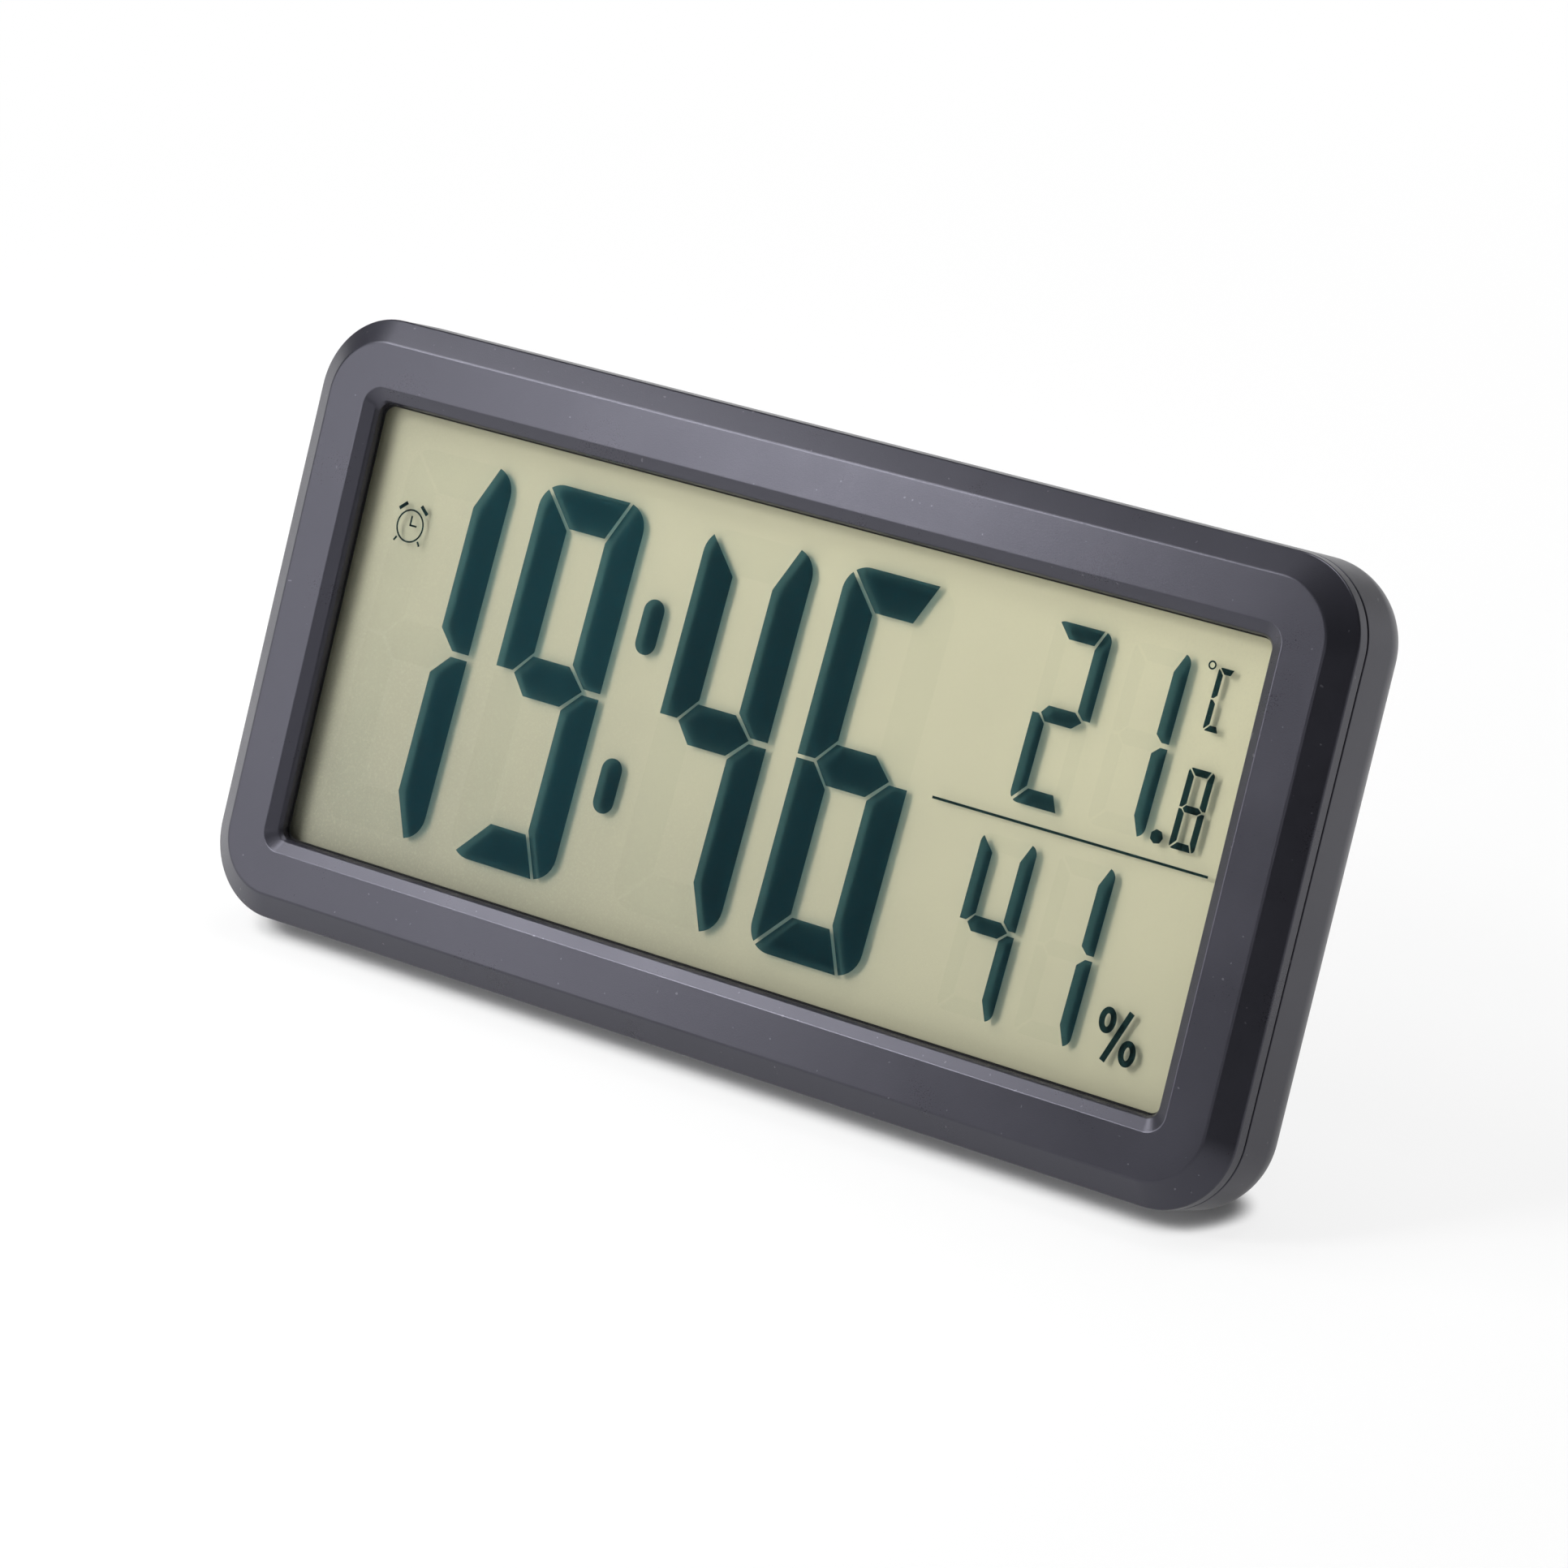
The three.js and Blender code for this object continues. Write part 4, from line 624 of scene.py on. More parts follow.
HEEL_REACH, LEG_WIDTH = 1.78, 40.0
heel = (HEEL_REACH - STAND_HALF * math.cos(STAND_OPEN)) / math.sin(STAND_OPEN)
knuckle = np.linspace(0, math.pi / 2, 10)
side_view = np.concatenate([
    [(-STAND_HALF, heel), (-STAND_HALF, -foot_inner), (STAND_HALF, -foot_outer)],
    STAND_HALF * np.stack([np.cos(knuckle), np.sin(knuckle)], -1),
])
both_sides = np.array([[-0.5], [0.5]])
stand = solid("stand_leg", xyz(LEG_WIDTH * both_sides, *side_view.T), place=unfold)
leg_height = foot_outer + 12
leg_middle = (0, leg_height / 2 - foot_outer)
combine(stand, "INTERSECT", [folded("outline", (LEG_WIDTH, leg_height), 5, leg_middle, -3, 3)])
soften = stand.modifiers.new("Eased edges", "BEVEL")
soften.width = 0.0004
soften.segments = 3
soften.limit_method = "ANGLE"
soften.angle_limit = math.radians(40)
pocket_top, pocket_bottom = -3.4, -foot_inner + 4
pocket_size, pocket_z = (17.0, pocket_top - pocket_bottom), (pocket_top + pocket_bottom) / 2
combine(stand, "DIFFERENCE", [
    folded("pocket", pocket_size, 2, (x, pocket_z), -STAND_HALF, -0.2, 0.3) for x in (-9.5, 9.5)
])
combine(stand, "UNION", [hinge_bar("pins", 1.1, 21.5, place=unfold)])
dress(stand, cover_finish, "stand", "cover_plastic", ["stand"])
print("stand faces:", len(stand.data.polygons))

# %% [markdown]
# The battery door is a flush plate with rounded edges, two tongues at its foot and a latch blade
# at its head. A few shallow grooves give a fingertip hold. It is a short stack of rings with the
# tongues and the latch joined on, as they are in the mould.

# %% Battery door
def buttoned(name, size, radius, middle, front, rise):
    """Plate whose outer end follows `rise`, pairs of (inset, depth)."""
    inset, depth = np.concatenate([[(0, front)], rise]).T
    return grown(name, size, radius, middle, -inset, depth, 14)


EASE = 0.3
quarter = np.linspace(0, math.pi / 2, 6)
eased = np.stack([EASE * (1 - np.cos(quarter)), BACK - EASE + EASE * np.sin(quarter)], -1)
door = buttoned("door", (BAY_SIZE[0] + 1.1, BAY_SIZE[1] + 1.1), 1.25, (BAY_X, BAY_Z), 17.11, eased)
holds = [block("latch", (56.6, 15.31, 22.85), (65.6, 17.5, 23.65))]
for x in TONGUE_X:
    holds.append(block("tongue", (x - 1.3, 15.46, -28.8), (x + 1.3, 16.26, -26.8)))
    holds.append(block("tongue root", (x - 1.3, 15.46, -27.55), (x + 1.3, 17.5, -26.8)))
combine(door, "UNION", holds)
combine(door, "DIFFERENCE", [
    opening("groove", (12, 0.7), 0.35, (BAY_X, 20 - 1.7 * row), BACK - 0.4, steps=8)
    for row in range(4)
])
dress(door, cover_finish, "battery_door", "cover_plastic", ["battery_door"])
print("door faces:", len(door.data.polygons))

# %% [markdown]
# The four keys are oblong buttons with a crowned top, a flange that keeps them in and a stem that
# reaches their switch. The crown is a parabola on top of a quarter round, which catches the light
# as a soft line and tells the finger where the middle is.

# %% Keys
KEY_TOP = BACK + 0.9
KEY_EASE, CROWN = 0.5, 0.15
FLANGE_FRONT, FLANGE_BACK = 15.26, 16.26
crown_share = np.linspace(0, 1, 5)[1:]
key_shoulder = KEY_TOP - CROWN - KEY_EASE
key_rise = np.concatenate([
    np.stack([KEY_EASE * (1 - np.cos(quarter)), key_shoulder + KEY_EASE * np.sin(quarter)], -1),
    np.stack([KEY_EASE + 1.8 * crown_share, KEY_TOP - CROWN * (1 - crown_share) ** 2], -1),
])
for name, x in KEY_X.items():
    button = buttoned("button_" + name, (13, 6), 3, (x, KEY_Z), FLANGE_FRONT, key_rise)
    flange = plate("flange", (15, 8), 4, (x, KEY_Z), FLANGE_FRONT, FLANGE_BACK, 0.15)
    combine(button, "UNION", [flange, rod("stem", 1.7, 13.51, 15.7, x, KEY_Z)])
    dress(button, key_finish, "key_" + name, "key_plastic", ["key_" + name])
print("keys:", ", ".join(KEY_X))

# %% [markdown]
# A liquid-crystal display has no light of its own. Room light passes the segments, is thrown
# back by a matt film behind them and passes them again. A segment is therefore a clear plate that
# swallows most of the red, drawn here as a tinted see-through plate: where the eye looks through
# it at bright film it is a lighter teal, where it covers its own shadow it is nearly black.
# Glass bends light, so whatever lies behind it looks only two thirds as deep. The clear pane here
# doesn't bend any, and so the segments and the film are drawn at the depth they appear at.

# %% Seven segments of a digit
SLANT = 0.036
SEGMENT_FRONT, SEGMENT_BACK = 3.36, 3.4
LAYOUT_SHIFT = (0.68, 0.03)


def arc(x, z, radius, start, end):
    """Points on a circle from one angle to another, in degrees."""
    angle = np.radians(np.linspace(start, end, 7))
    return np.stack([x + radius * np.cos(angle), z + radius * np.sin(angle)], -1)


def segment_shapes(width, half, stroke, gap):
    """Outlines of the seven segments a to g about a digit's middle left. Outer corners follow one
    circle, and neighbours meet on mitres that are parted by the gap."""
    round_off = 0.65 * stroke
    spread = math.degrees(gap / 2 / round_off)
    left, right, top = round_off, width - round_off, half - round_off
    upper = {
        "a": np.concatenate([
            arc(left, top, round_off, 132 - spread, 90),
            [(width - 0.53 * stroke - 0.55 * gap, half), (width - stroke - 0.55 * gap, half - stroke)],
            [(stroke + 0.7 * gap, half - stroke)],
        ]),
        "f": np.concatenate([
            [(0, gap / 2), (0.55 * stroke - 0.5 * gap, gap / 2), (stroke, 0.55 * stroke + 0.5 * gap)],
            [(stroke, half - stroke - 0.7 * gap)],
            arc(left, top, round_off, 132 + spread, 180),
        ]),
        "b": np.concatenate([
            [(width - stroke, 0.55 * stroke + 0.2 * gap), (width - 0.51 * stroke, 0.8 * gap)],
            [(width, 0.8 * gap)],
            arc(right, top, round_off, 0, 80 - spread),
            [(width - stroke, half - stroke - 1.18 * gap)],
        ]),
    }
    mirrored = {low: upper[high] * (1, -1) for high, low in zip("afb", "dec")}
    tips = [(0.55 * stroke + 0.2 * gap, 0), (width - 0.53 * stroke - 0.1 * gap, 0)]
    flats = [(stroke, stroke / 2), (width - stroke - 0.8 * gap, stroke / 2)]
    lower_flats = [(x, -z) for x, z in flats[::-1]]
    crossbar = np.array([tips[0], *flats, tips[1], *lower_flats])
    return {**upper, **mirrored, "g": crossbar}


LIT_LETTERS = {
    "1": "bc", "2": "abged", "4": "fgbc", "6": "afgecd", "8": "abcdefg", "9": "abfgcd", "C": "afed",
}


def digit(sign, left, middle, width, half, stroke, gap, lit=True):
    """Outlines of a digit's lit segments, or of those left dark, leaned to the right by the slant."""
    shapes = segment_shapes(width, half, stroke, gap)
    chosen = [shape for letter, shape in shapes.items() if (letter in LIT_LETTERS[sign]) == lit]
    return [np.stack([left + s[:, 0] + SLANT * s[:, 1], middle + s[:, 1]], -1) for s in chosen]


print("segments of a digit:", len(segment_shapes(17.55, 25.9, 5.5, 0.5)))

# %% [markdown]
# The outlines become plates as thin as a coat of dye. The round parts of the signs are oval rings,
# and their straight strokes are bars with square ends.

# %% Thin plates, rings and bars
def thin_plates(name, outlines):
    """One closed plate for each outline, all as one piece."""
    pieces = []
    for outline in outlines:
        x, z = (np.asarray(outline, float) + LAYOUT_SHIFT).T
        pieces.append(solid(name, stack(x, [SEGMENT_FRONT, SEGMENT_BACK], z)))
    return gather(name, pieces)


def thin_ring(x, z, across, high, stroke):
    """Oval ring: an outer and an inner oval at two depths, closed on itself."""
    t = np.linspace(0, 2 * math.pi, 32, endpoint=False)[:, None]
    inner = np.array([0, 0, -stroke, -stroke])
    depth = np.array([SEGMENT_FRONT, SEGMENT_BACK, SEGMENT_BACK, SEGMENT_FRONT])
    ring_x = x + LAYOUT_SHIFT[0] + (across / 2 + inner) * np.cos(t)
    ring_z = z + LAYOUT_SHIFT[1] + (high / 2 + inner) * np.sin(t)
    return solid("ring", xyz(ring_x, depth, ring_z), looped=True)


def bar(start, end, thick):
    """Outline of a straight stroke with square ends."""
    start, end = np.array(start, float), np.array(end, float)
    along = (end - start) / np.linalg.norm(end - start)
    across = np.array([-along[1], along[0]]) * thick / 2
    return np.stack([start + across, end + across, end - across, start - across])


print("thickness of a segment, mm:", round(SEGMENT_BACK - SEGMENT_FRONT, 3))

# %% [markdown]
# The display shows a time, a temperature and a humidity. Segments that rest leave faint ghosts, so
# the lit ones and the resting ones come from the same function. The alarm symbol, the percent sign
# and the line between the two readings are put together from rings and bars.

# %% Time, temperature and humidity
LARGE = dict(middle=0, width=17.55, half=25.9, stroke=5.5, gap=0.5)
SMALL = dict(width=8.5, stroke=2.1, gap=0.4)
WARMTH, DAMP = dict(SMALL, middle=13.95, half=11.85), dict(SMALL, middle=-14.2, half=11.65)
MINI = dict(middle=7.2, width=3.8, half=5.2, stroke=0.92, gap=0.22)
UNIT = dict(middle=21.25, width=2.7, half=4.05, stroke=0.78, gap=0.2)
# size of the digits, then each sign with its left edge
DIGITS = {
    "hour": (LARGE, [("1", -67.0), ("9", -44.6)]),
    "minute": (LARGE, [("4", -17.05), ("6", 5.35)]),
    "temperature": (WARMTH, [("2", 38.25), ("1", 50.05)]),
    "humidity": (DAMP, [("4", 34.95), ("1", 46.8)]),
    "sign": (MINI, [("8", 62.05)]),
}


def readings(lit):
    """Outlines of all digits by what they tell, either the lit segments or the resting ones."""
    shown = {}
    for name, (size, signs) in DIGITS.items():
        shown[name] = sum((digit(sign, left, lit=lit, **size) for sign, left in signs), [])
    return shown


lit = readings(True)
for x, z in ((-21.75, 10.75), (-22.5, -11.0)):
    colon_x, colon_z = rounded_outline(3.3, 7.5, 1.6, 6)
    lit["minute"].append(np.stack([x + colon_x + SLANT * colon_z, z + colon_z], -1))
lit["sign"] += digit("C", 62.8, **UNIT)
lit["sign"] += [
    arc(59.95, 2.85, 0.95, 0, 308.6),
    bar((26.8, -0.25), (68.4, -0.25), 0.35), bar((62.6, -19.2), (59.9, -26.0), 0.85),
    bar((-63.9, 15.1), (-63.9, 16.5), 0.26), bar((-64.03, 15.2), (-62.8, 15.2), 0.26),
    bar((-66.3, 17.1), (-65.1, 18.1), 0.5), bar((-62.7, 18.1), (-61.5, 17.1), 0.5),
    bar((-65.7, 13.3), (-66.1, 12.7), 0.28), bar((-62.1, 13.3), (-61.7, 12.7), 0.28),
]
segments = {name: thin_plates(name + "_segments", shapes) for name, shapes in lit.items()}
rings = [
    thin_ring(61.9, 25.3, 1.15, 1.15, 0.22), thin_ring(59.4, -20.9, 2.5, 3.4, 0.84),
    thin_ring(63.2, -24.3, 2.5, 3.4, 0.84), thin_ring(-63.9, 15.1, 4.6, 4.6, 0.24),
]
segments["sign"] = gather("sign_segments", [segments["sign"]] + rings)
unlit = thin_plates("unlit_segments", sum(readings(False).values(), []))
print("lit outlines:", {name: len(shapes) for name, shapes in lit.items()})

# %% [markdown]
# The pane in front of the segments is a sandwich: a matt polarising film on the front glass, which
# carries the contact ledge at its top, and the rear glass. It is one stepped sheet here, because
# three clear sheets in a row look the same and cost light. Clear glass throws no shadow to speak
# of, so the pane is left out of the shadow rays.

# %% Finishes of the pane and of the segments
def tinted(name, red, green, blue, haze):
    """See-through plate: each of its two faces passes the square root of the tint, and a faint
    grain of dye blocks a little more."""
    made, tree, place = new_finish(name)
    colour = tuple(math.sqrt(value) for value in (red, green, blue)) + (1.0,)
    through = tree.node("ShaderNodeBsdfTransparent", None, {"Color": colour})
    dye = surface(tree, {
        "Base Color": rgb(26, 52, 58),
        "Roughness": 0.6,
        "Specular IOR Level": 0.2,
    })
    share = haze * (0.4 + place.noise(2600, 2))
    wear_mix(tree, share, through, dye)
    return made


def clear_film(name):
    """Almost clear, with a faint matt sheen that grows towards grazing angles."""
    made, tree, place = new_finish(name)
    fine = place.noise(9000, 1)
    sheen = surface(tree, {
        "Base Color": rgb(120, 122, 112),
        "Roughness": 0.42 + (fine - 0.5) * 0.1,
        "Specular IOR Level": 0.5,
    })
    clear = tree.node("ShaderNodeBsdfTransparent", None, {"Color": (0.985, 0.99, 0.975, 1)})
    facing = tree.node("ShaderNodeLayerWeight", None, {"Blend": 0.25}, output=1)
    share = 0.006 + facing * 0.05
    wear_mix(tree, share, clear, sheen)
    return made


# painted light: the hours' paler tint stands in for the left end of the display looking lighter
hour_finish_painted_paler = tinted("lit hour segment", 0.112, 0.265, 0.35, 0.03)
minute_finish = tinted("lit minute segment", 0.09, 0.215, 0.288, 0.03)
# painted shade: the small digits and the signs get darker tints than the large digits, standing in for
# the deeper shade that their thin strokes show
small_finish_painted_darker = tinted("small lit segment", 0.07, 0.175, 0.24, 0.03)
sign_finish_painted_darker = tinted("lit sign", 0.022, 0.065, 0.09, 0.03)
unlit_finish = tinted("unlit segment", 0.985, 0.989, 0.987, 0.002)
print("pane and segment finishes are ready")

# %% [markdown]
# The pane's side view is a stepped outline, carried straight across the display's width. The hours get
# a slightly paler tint than the minutes: painted light, standing in for the left end of the display
# looking lighter when seen from the right.

# %% Pane and segments in place
PANE_WIDTH, PANE_TOP = 145.68, 32.14
FILM_FACE, REAR_FACE, LEDGE_BACK = 2.71, 4.91, 3.71
STEPS = [
    (FILM_FACE, GLASS_BOTTOM), (REAR_FACE, GLASS_BOTTOM), (REAR_FACE, PANE_TOP), (LEDGE_BACK, PANE_TOP),
    (LEDGE_BACK, GLASS_TOP), (GLASS_FRONT, GLASS_TOP), (GLASS_FRONT, PANE_TOP), (FILM_FACE, PANE_TOP),
]
CRISP = 20
pane = solid("display_pane", xyz(PANE_WIDTH * both_sides, *np.array(STEPS).T))
sheets = ["lcd_polariser", "lcd_front_glass", "lcd_rear_glass"]
dress(pane, clear_film("matt clear film"), "housing", "clear_film", sheets, CRISP)
pane.visible_shadow = False
segment_finishes = {"hour": hour_finish_painted_paler, "minute": minute_finish, "sign": sign_finish_painted_darker}
for name, piece in segments.items():
    dress(piece, segment_finishes.get(name, small_finish_painted_darker), "housing", "clear_glass", sharp=CRISP)
dress(unlit, unlit_finish, "housing", "clear_glass", sharp=CRISP)
print("display pieces:", len(segments) + 2)

# %% [markdown]
# The reflector is a film with a pearly, slightly fibrous surface in the grey-green beige that such
# displays have. Its colour is painted paler towards the right and the top: painted light, standing in
# for the display looking brighter there. It is a plain thin plate, moved forward to the depth it
# appears at, like the segments.

# %% Reflector
FILM_MIDDLE = 0.041
FILM_SIZE = (PANE_WIDTH, PANE_TOP - GLASS_BOTTOM)
FILM_FRONT, FILM_BACK = 4.18, 4.3


def pearl_film(name):
    """Grey-green to pale beige, painted lighter by 4.2 per metre across and 6.5 per metre up where the
    display looks brighter, with soft clouds of its own tone.
    """
    made, tree, place = new_finish(name)
    cloud = place.noise(55, 3)
    fine = place.noise(3000, 2, 0.7)
    across = tree.node("ShaderNodeSeparateXYZ", None, {"Vector": place}, output=0)
    height = tree.node("ShaderNodeSeparateXYZ", None, {"Vector": place}, output=2)
    # painted light: the rise across and up stands in for the display's brighter right and top; the
    # clouds are the film's own tone
    pale = 0.5 + across * 4.2 + (height - FILM_MIDDLE) * 6.5 + (cloud - 0.5) * 0.16
    base = pale.blend(rgb(141, 140, 126), rgb(211, 207, 175))
    base = (fine.between(0.45, 0.75) * 0.2).blend(base, rgb(190, 188, 160))
    wear(tree, surface(tree, {
        "Base Color": base,
        "Roughness": 0.75 + (fine - 0.5) * 0.2,
        "Specular IOR Level": 0.2,
        "Normal": fine.bump(0.00001, 0.3),
    }))
    return made


film = plate("reflector_sheet", FILM_SIZE, 0.3, (0, 0), FILM_FRONT, FILM_BACK)
dress(film, pearl_film("pearl film"), "housing", "reflector_film", ["lcd_reflector"])
print("reflector sheet, mm:", FILM_SIZE)

# %% [markdown]
# Metal parts are plain stamped, drawn or turned steel and brass. Brushing and small stains show
# in their roughness, so one function makes them all from two colours, a roughness and how far the
# brushing is stretched along one axis. Flat stampings are fine as they were packed, and so these
# solids only get a new finish.

# %% Metals
def refinish(node, finish):
    """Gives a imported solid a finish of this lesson."""
    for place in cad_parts[node].material_slots:
        place.material = finish


def bare_metal(name, colour, dull, roughness, stretch=(1, 1, 1)):
    """Stained from one colour to a duller one, with brushing in roughness and bump."""
    made, tree, place = new_finish(name)
    along = tree.node("ShaderNodeMapping", None, {"Vector": place, "Scale": stretch})
    brush = along.noise(2600, 3, 0.6)
    stain = place.noise(260, 3)
    wear(tree, surface(tree, {
        "Base Color": (stain.between(0.35, 0.75) * 0.7).blend(colour, dull),
        "Metallic": 1.0,
        "Roughness": roughness + (brush - 0.5) * 0.2 + (stain - 0.5) * 0.15,
        "Normal": brush.bump(0.000006, 0.4),
    }))
    return made


steel = bare_metal("bare steel", rgb(196, 198, 202), rgb(168, 168, 170), 0.3, (1, 0.1, 1))
screw_steel = bare_metal("blackened steel", rgb(92, 92, 96), rgb(70, 69, 72), 0.36)
brass = bare_metal("brass sheet", rgb(206, 174, 98), rgb(172, 138, 74), 0.32, (0.1, 1, 1))
for node in ("contact_positive", "contact_negative", "contact_bridge", "crystal_can"):
    refinish(node, steel)
refinish("piezo_disc", brass)
print("metals:", steel.name, screw_steel.name, brass.name)

# %% [markdown]
# Self-tapping screws hold the case, the board and the display's retainer. Each is turned, as on a
# lathe, and two crossed slots are sunk into its head. Threads hide inside the bosses and are left
# out.

# %% Screws with a cross recess
def screw(name, x, z, seat, head, head_height, shank, length):
    """Turned pan head over a pointed shank, with two crossed slots sunk into it. The head's rim is
    upright for 0.45 of its height, and a quarter round takes it from there to the top."""
    tip, top = seat - length, seat + head_height
    t = np.linspace(0, math.pi / 2, 7)
    dome_radius = head - 0.55 * head_height * (1 - np.cos(t))
    dome_depth = seat + head_height * (0.45 + 0.55 * np.sin(t))
    profile = [(0, tip), (shank, tip + shank), (shank, seat), (head, seat)]
    piece = turned(name, [*profile, *zip(dome_radius, dome_depth), (0, top)], x, z, 40)
    low, high = seat + 0.5 * head_height, seat + 2 * head_height
    arm, half = 0.62 * head, 0.13 * head
    combine(piece, "DIFFERENCE", [
        block("slot", (x - arm, low, z - half), (x + arm, high, z + half)),
        block("slot", (x - half, low, z - arm), (x + half, high, z + arm)),
    ])
    dress(piece, screw_steel, "housing", "bare_steel", [name.replace("fastener", "screw")])


# name, places, depth of the seat, then radius and height of the head, radius and length of the shank
SCREWS = [
    ("case", CASE_POSTS, 10.11, (2.1, 1.5, 0.95, 6.2)),
    ("board", BOARD_SCREWS, 8.61, (1.8, 1.2, 0.8, 4.6)),
    ("retainer", RETAINER_SCREWS, 6.61, (1.8, 1.2, 0.8, 3.2)),
]
for label, places, seat, size in SCREWS:
    for number, (x, z) in enumerate(places, 1):
        screw(f"{label}_fastener_{number}", x, z, seat, *size)
print("screws:", ", ".join(row[0] for row in SCREWS))

# %% [markdown]
# The two cells stand in the bay, one each way up. They are turned about an upright axis: a tin
# can in a plain sleeve, a rolled shoulder and the nub. The sleeve's colours follow the height along
# the cell, so the Object coordinates are first turned upright with the face.

# %% Cells
CELL_DEPTH, CELL_LENGTH = 11.71, 44.5


def sleeve(name, low, high):
    """Pale grey sleeve with a slate-coloured end at the nub and one thin ring of it. Both ends are
    bare metal. Shares of the height go from 0 at the flat end to 1 at the nub."""
    made, tree, place = new_finish(name)
    upright = tree.node("ShaderNodeMapping", None, {"Vector": place, "Rotation": (LEAN, 0, 0)})
    height = tree.node("ShaderNodeSeparateXYZ", None, {"Vector": upright}, output=2) * 1000
    middle = FACE_MIDDLE[2] * math.cos(LEAN) + FACE_MIDDLE[1] * math.sin(LEAN)
    share = (height - (low + middle)) * (1 / (high - low))
    band = (share > 0.83) * (share < 0.96) + (share > 0.79) * (share < 0.81)
    bare = 1 - (share > 0.035) * (share < 0.96)
    scuff = place.noise(900, 4, 0.6)
    printed = band.blend(rgb(186, 190, 188), rgb(70, 92, 100))
    wear(tree, surface(tree, {
        "Base Color": bare.blend(printed, rgb(190, 190, 194)),
        "Metallic": bare * 0.95,
        "Roughness": 0.32 + (scuff - 0.5) * 0.2,
        "Normal": scuff.bump(0.000008, 0.3),
    }))
    return made


def cell(name, x, low, flip):
    """Turned about an upright axis: (x + r cos t, CELL_DEPTH + r sin t, low + h)."""
    # radius, height, and radius of the corner
    profile = rounded_path([
        (0, 0, 0), (4.6, 0, 0.25), (4.75, 0.3, 0.1), (5.25, 0.3, 0.3), (5.25, 43.7, 0.6),
        (3.6, 43.7, 0.3), (3.4, 43.45, 0.1), (1.9, 43.45, 0.1), (1.9, CELL_LENGTH, 0.3),
        (0, CELL_LENGTH, 0),
    ], 4)
    t = np.linspace(0, 2 * math.pi, 64, endpoint=False)
    radius, high = profile[:, 0, None], profile[:, 1]
    high = (low + (CELL_LENGTH - high if flip else high))[:, None]
    piece = solid(name, xyz(x + radius * np.cos(t), CELL_DEPTH + radius * np.sin(t), high))
    ends = (low + CELL_LENGTH, low) if flip else (low, low + CELL_LENGTH)
    number = name[-1]
    dress(piece, sleeve("sleeve " + number, *ends), "housing", "cell_jacket", ["battery_" + number])


BAY_FLOOR = -26.2
SPRING_LENGTH = 4.6
cell("cell_1", CELL_X[0], -21.4, False)
cell("cell_2", CELL_X[1], BAY_FLOOR, True)
print("cells made, length in mm:", CELL_LENGTH)

# %% [markdown]
# Springs are wires along a cone, with a flat turn at each end that sits on its contact plate. The
# wire is a small circle carried along the path, square to it at every point. The leads further on
# are made by the same function.

# %% Springs
NEVER_ALONG = (0.31, 0.87, 0.38)
WIRE_SIDES = 12


def tube(name, path, radius):
    """Round wire: at each point of the path, r (cos t across + sin t over), both square to it."""
    along = unit(np.gradient(path, axis=0))
    across = unit(np.cross(along, NEVER_ALONG))
    over = np.cross(along, across)
    t = np.linspace(0, 2 * math.pi, WIRE_SIDES, endpoint=False)[None, :, None]
    rings = path[:, None] + radius * (np.cos(t) * across[:, None] + np.sin(t) * over[:, None])
    return solid(name, rings)


def coil(name, x, low, flip, node):
    """Wire on a cone in four turns: radius from 3.6 to 2, and a height that rises by the smooth step
    3 s^2 - 2 s^3, so that it stays flat for a turn at each end."""
    share = np.linspace(0, 1, 260)
    angle = 2 * math.pi * 4 * share
    radius = 3.6 - 1.6 * share
    rise = np.clip((share - 0.16) / 0.7, 0, 1)
    high = 0.27 + 4.06 * rise * rise * (3 - 2 * rise)
    high = low + (SPRING_LENGTH - high if flip else high)
    path = xyz(x + radius * np.cos(angle), CELL_DEPTH + radius * np.sin(angle), high)
    dress(tube(name, path, 0.25), steel, "housing", "bare_steel", [node])


coil("coil_1", CELL_X[0], BAY_FLOOR, False, "spring_bridge")
coil("coil_2", CELL_X[1], 18.5, True, "spring_negative")
print("springs made, length in mm:", SPRING_LENGTH)

# %% [markdown]
# Four short leads join the contacts and the sounder to the board. Wire doesn't bend sharply, so
# each follows a smooth curve through a few points, with a short straight start at both joints.
# Their sleeves and most of the small parts share one simple finish of two close colours.

# %% Leads
def plain_finish(name, colour, other, roughness, scale, depth, edges=(0.35, 0.65), swing=0.2, bump=0.5):
    """Two close colours in a noise between two edges, a roughness that swings with it and a bump."""
    made, tree, place = new_finish(name)
    spots = place.noise(scale, 3, 0.6)
    wear(tree, surface(tree, {
        "Base Color": spots.between(*edges).blend(colour, other),
        "Roughness": roughness + (spots - 0.5) * swing,
        "Normal": spots.bump(depth, bump),
    }))
    return made


def smooth_route(points):
    """Curve through the points: between two of them a cubic whose ends lean along their neighbours."""
    points = np.asarray(points, float)
    padded = np.concatenate([[2 * points[0] - points[1]], points, [2 * points[-1] - points[-2]]])
    t = np.linspace(0, 1, 10, endpoint=False)[None, :, None]
    p0, p1, p2, p3 = (padded[i:len(padded) - 3 + i][:, None] for i in range(4))
    square = (2 * p0 - 5 * p1 + 4 * p2 - p3) * t**2
    cube = (3 * p1 - p0 - 3 * p2 + p3) * t**3
    bend = (2 * p1 + (p2 - p0) * t + square + cube) / 2
    return np.concatenate([bend.reshape(-1, 3), points[-1:]])


WIRE_RADIUS = 0.6
wire_look = dict(roughness=0.5, scale=1600, depth=0.00001, edges=(0.4, 0.8), swing=0.3, bump=0.3)
wires = {
    "red_wire": plain_finish("red wire", rgb(158, 38, 32), rgb(120, 30, 26), **wire_look),
    "black_wire": plain_finish("black wire", rgb(28, 28, 30), rgb(44, 44, 46), **wire_look),
}
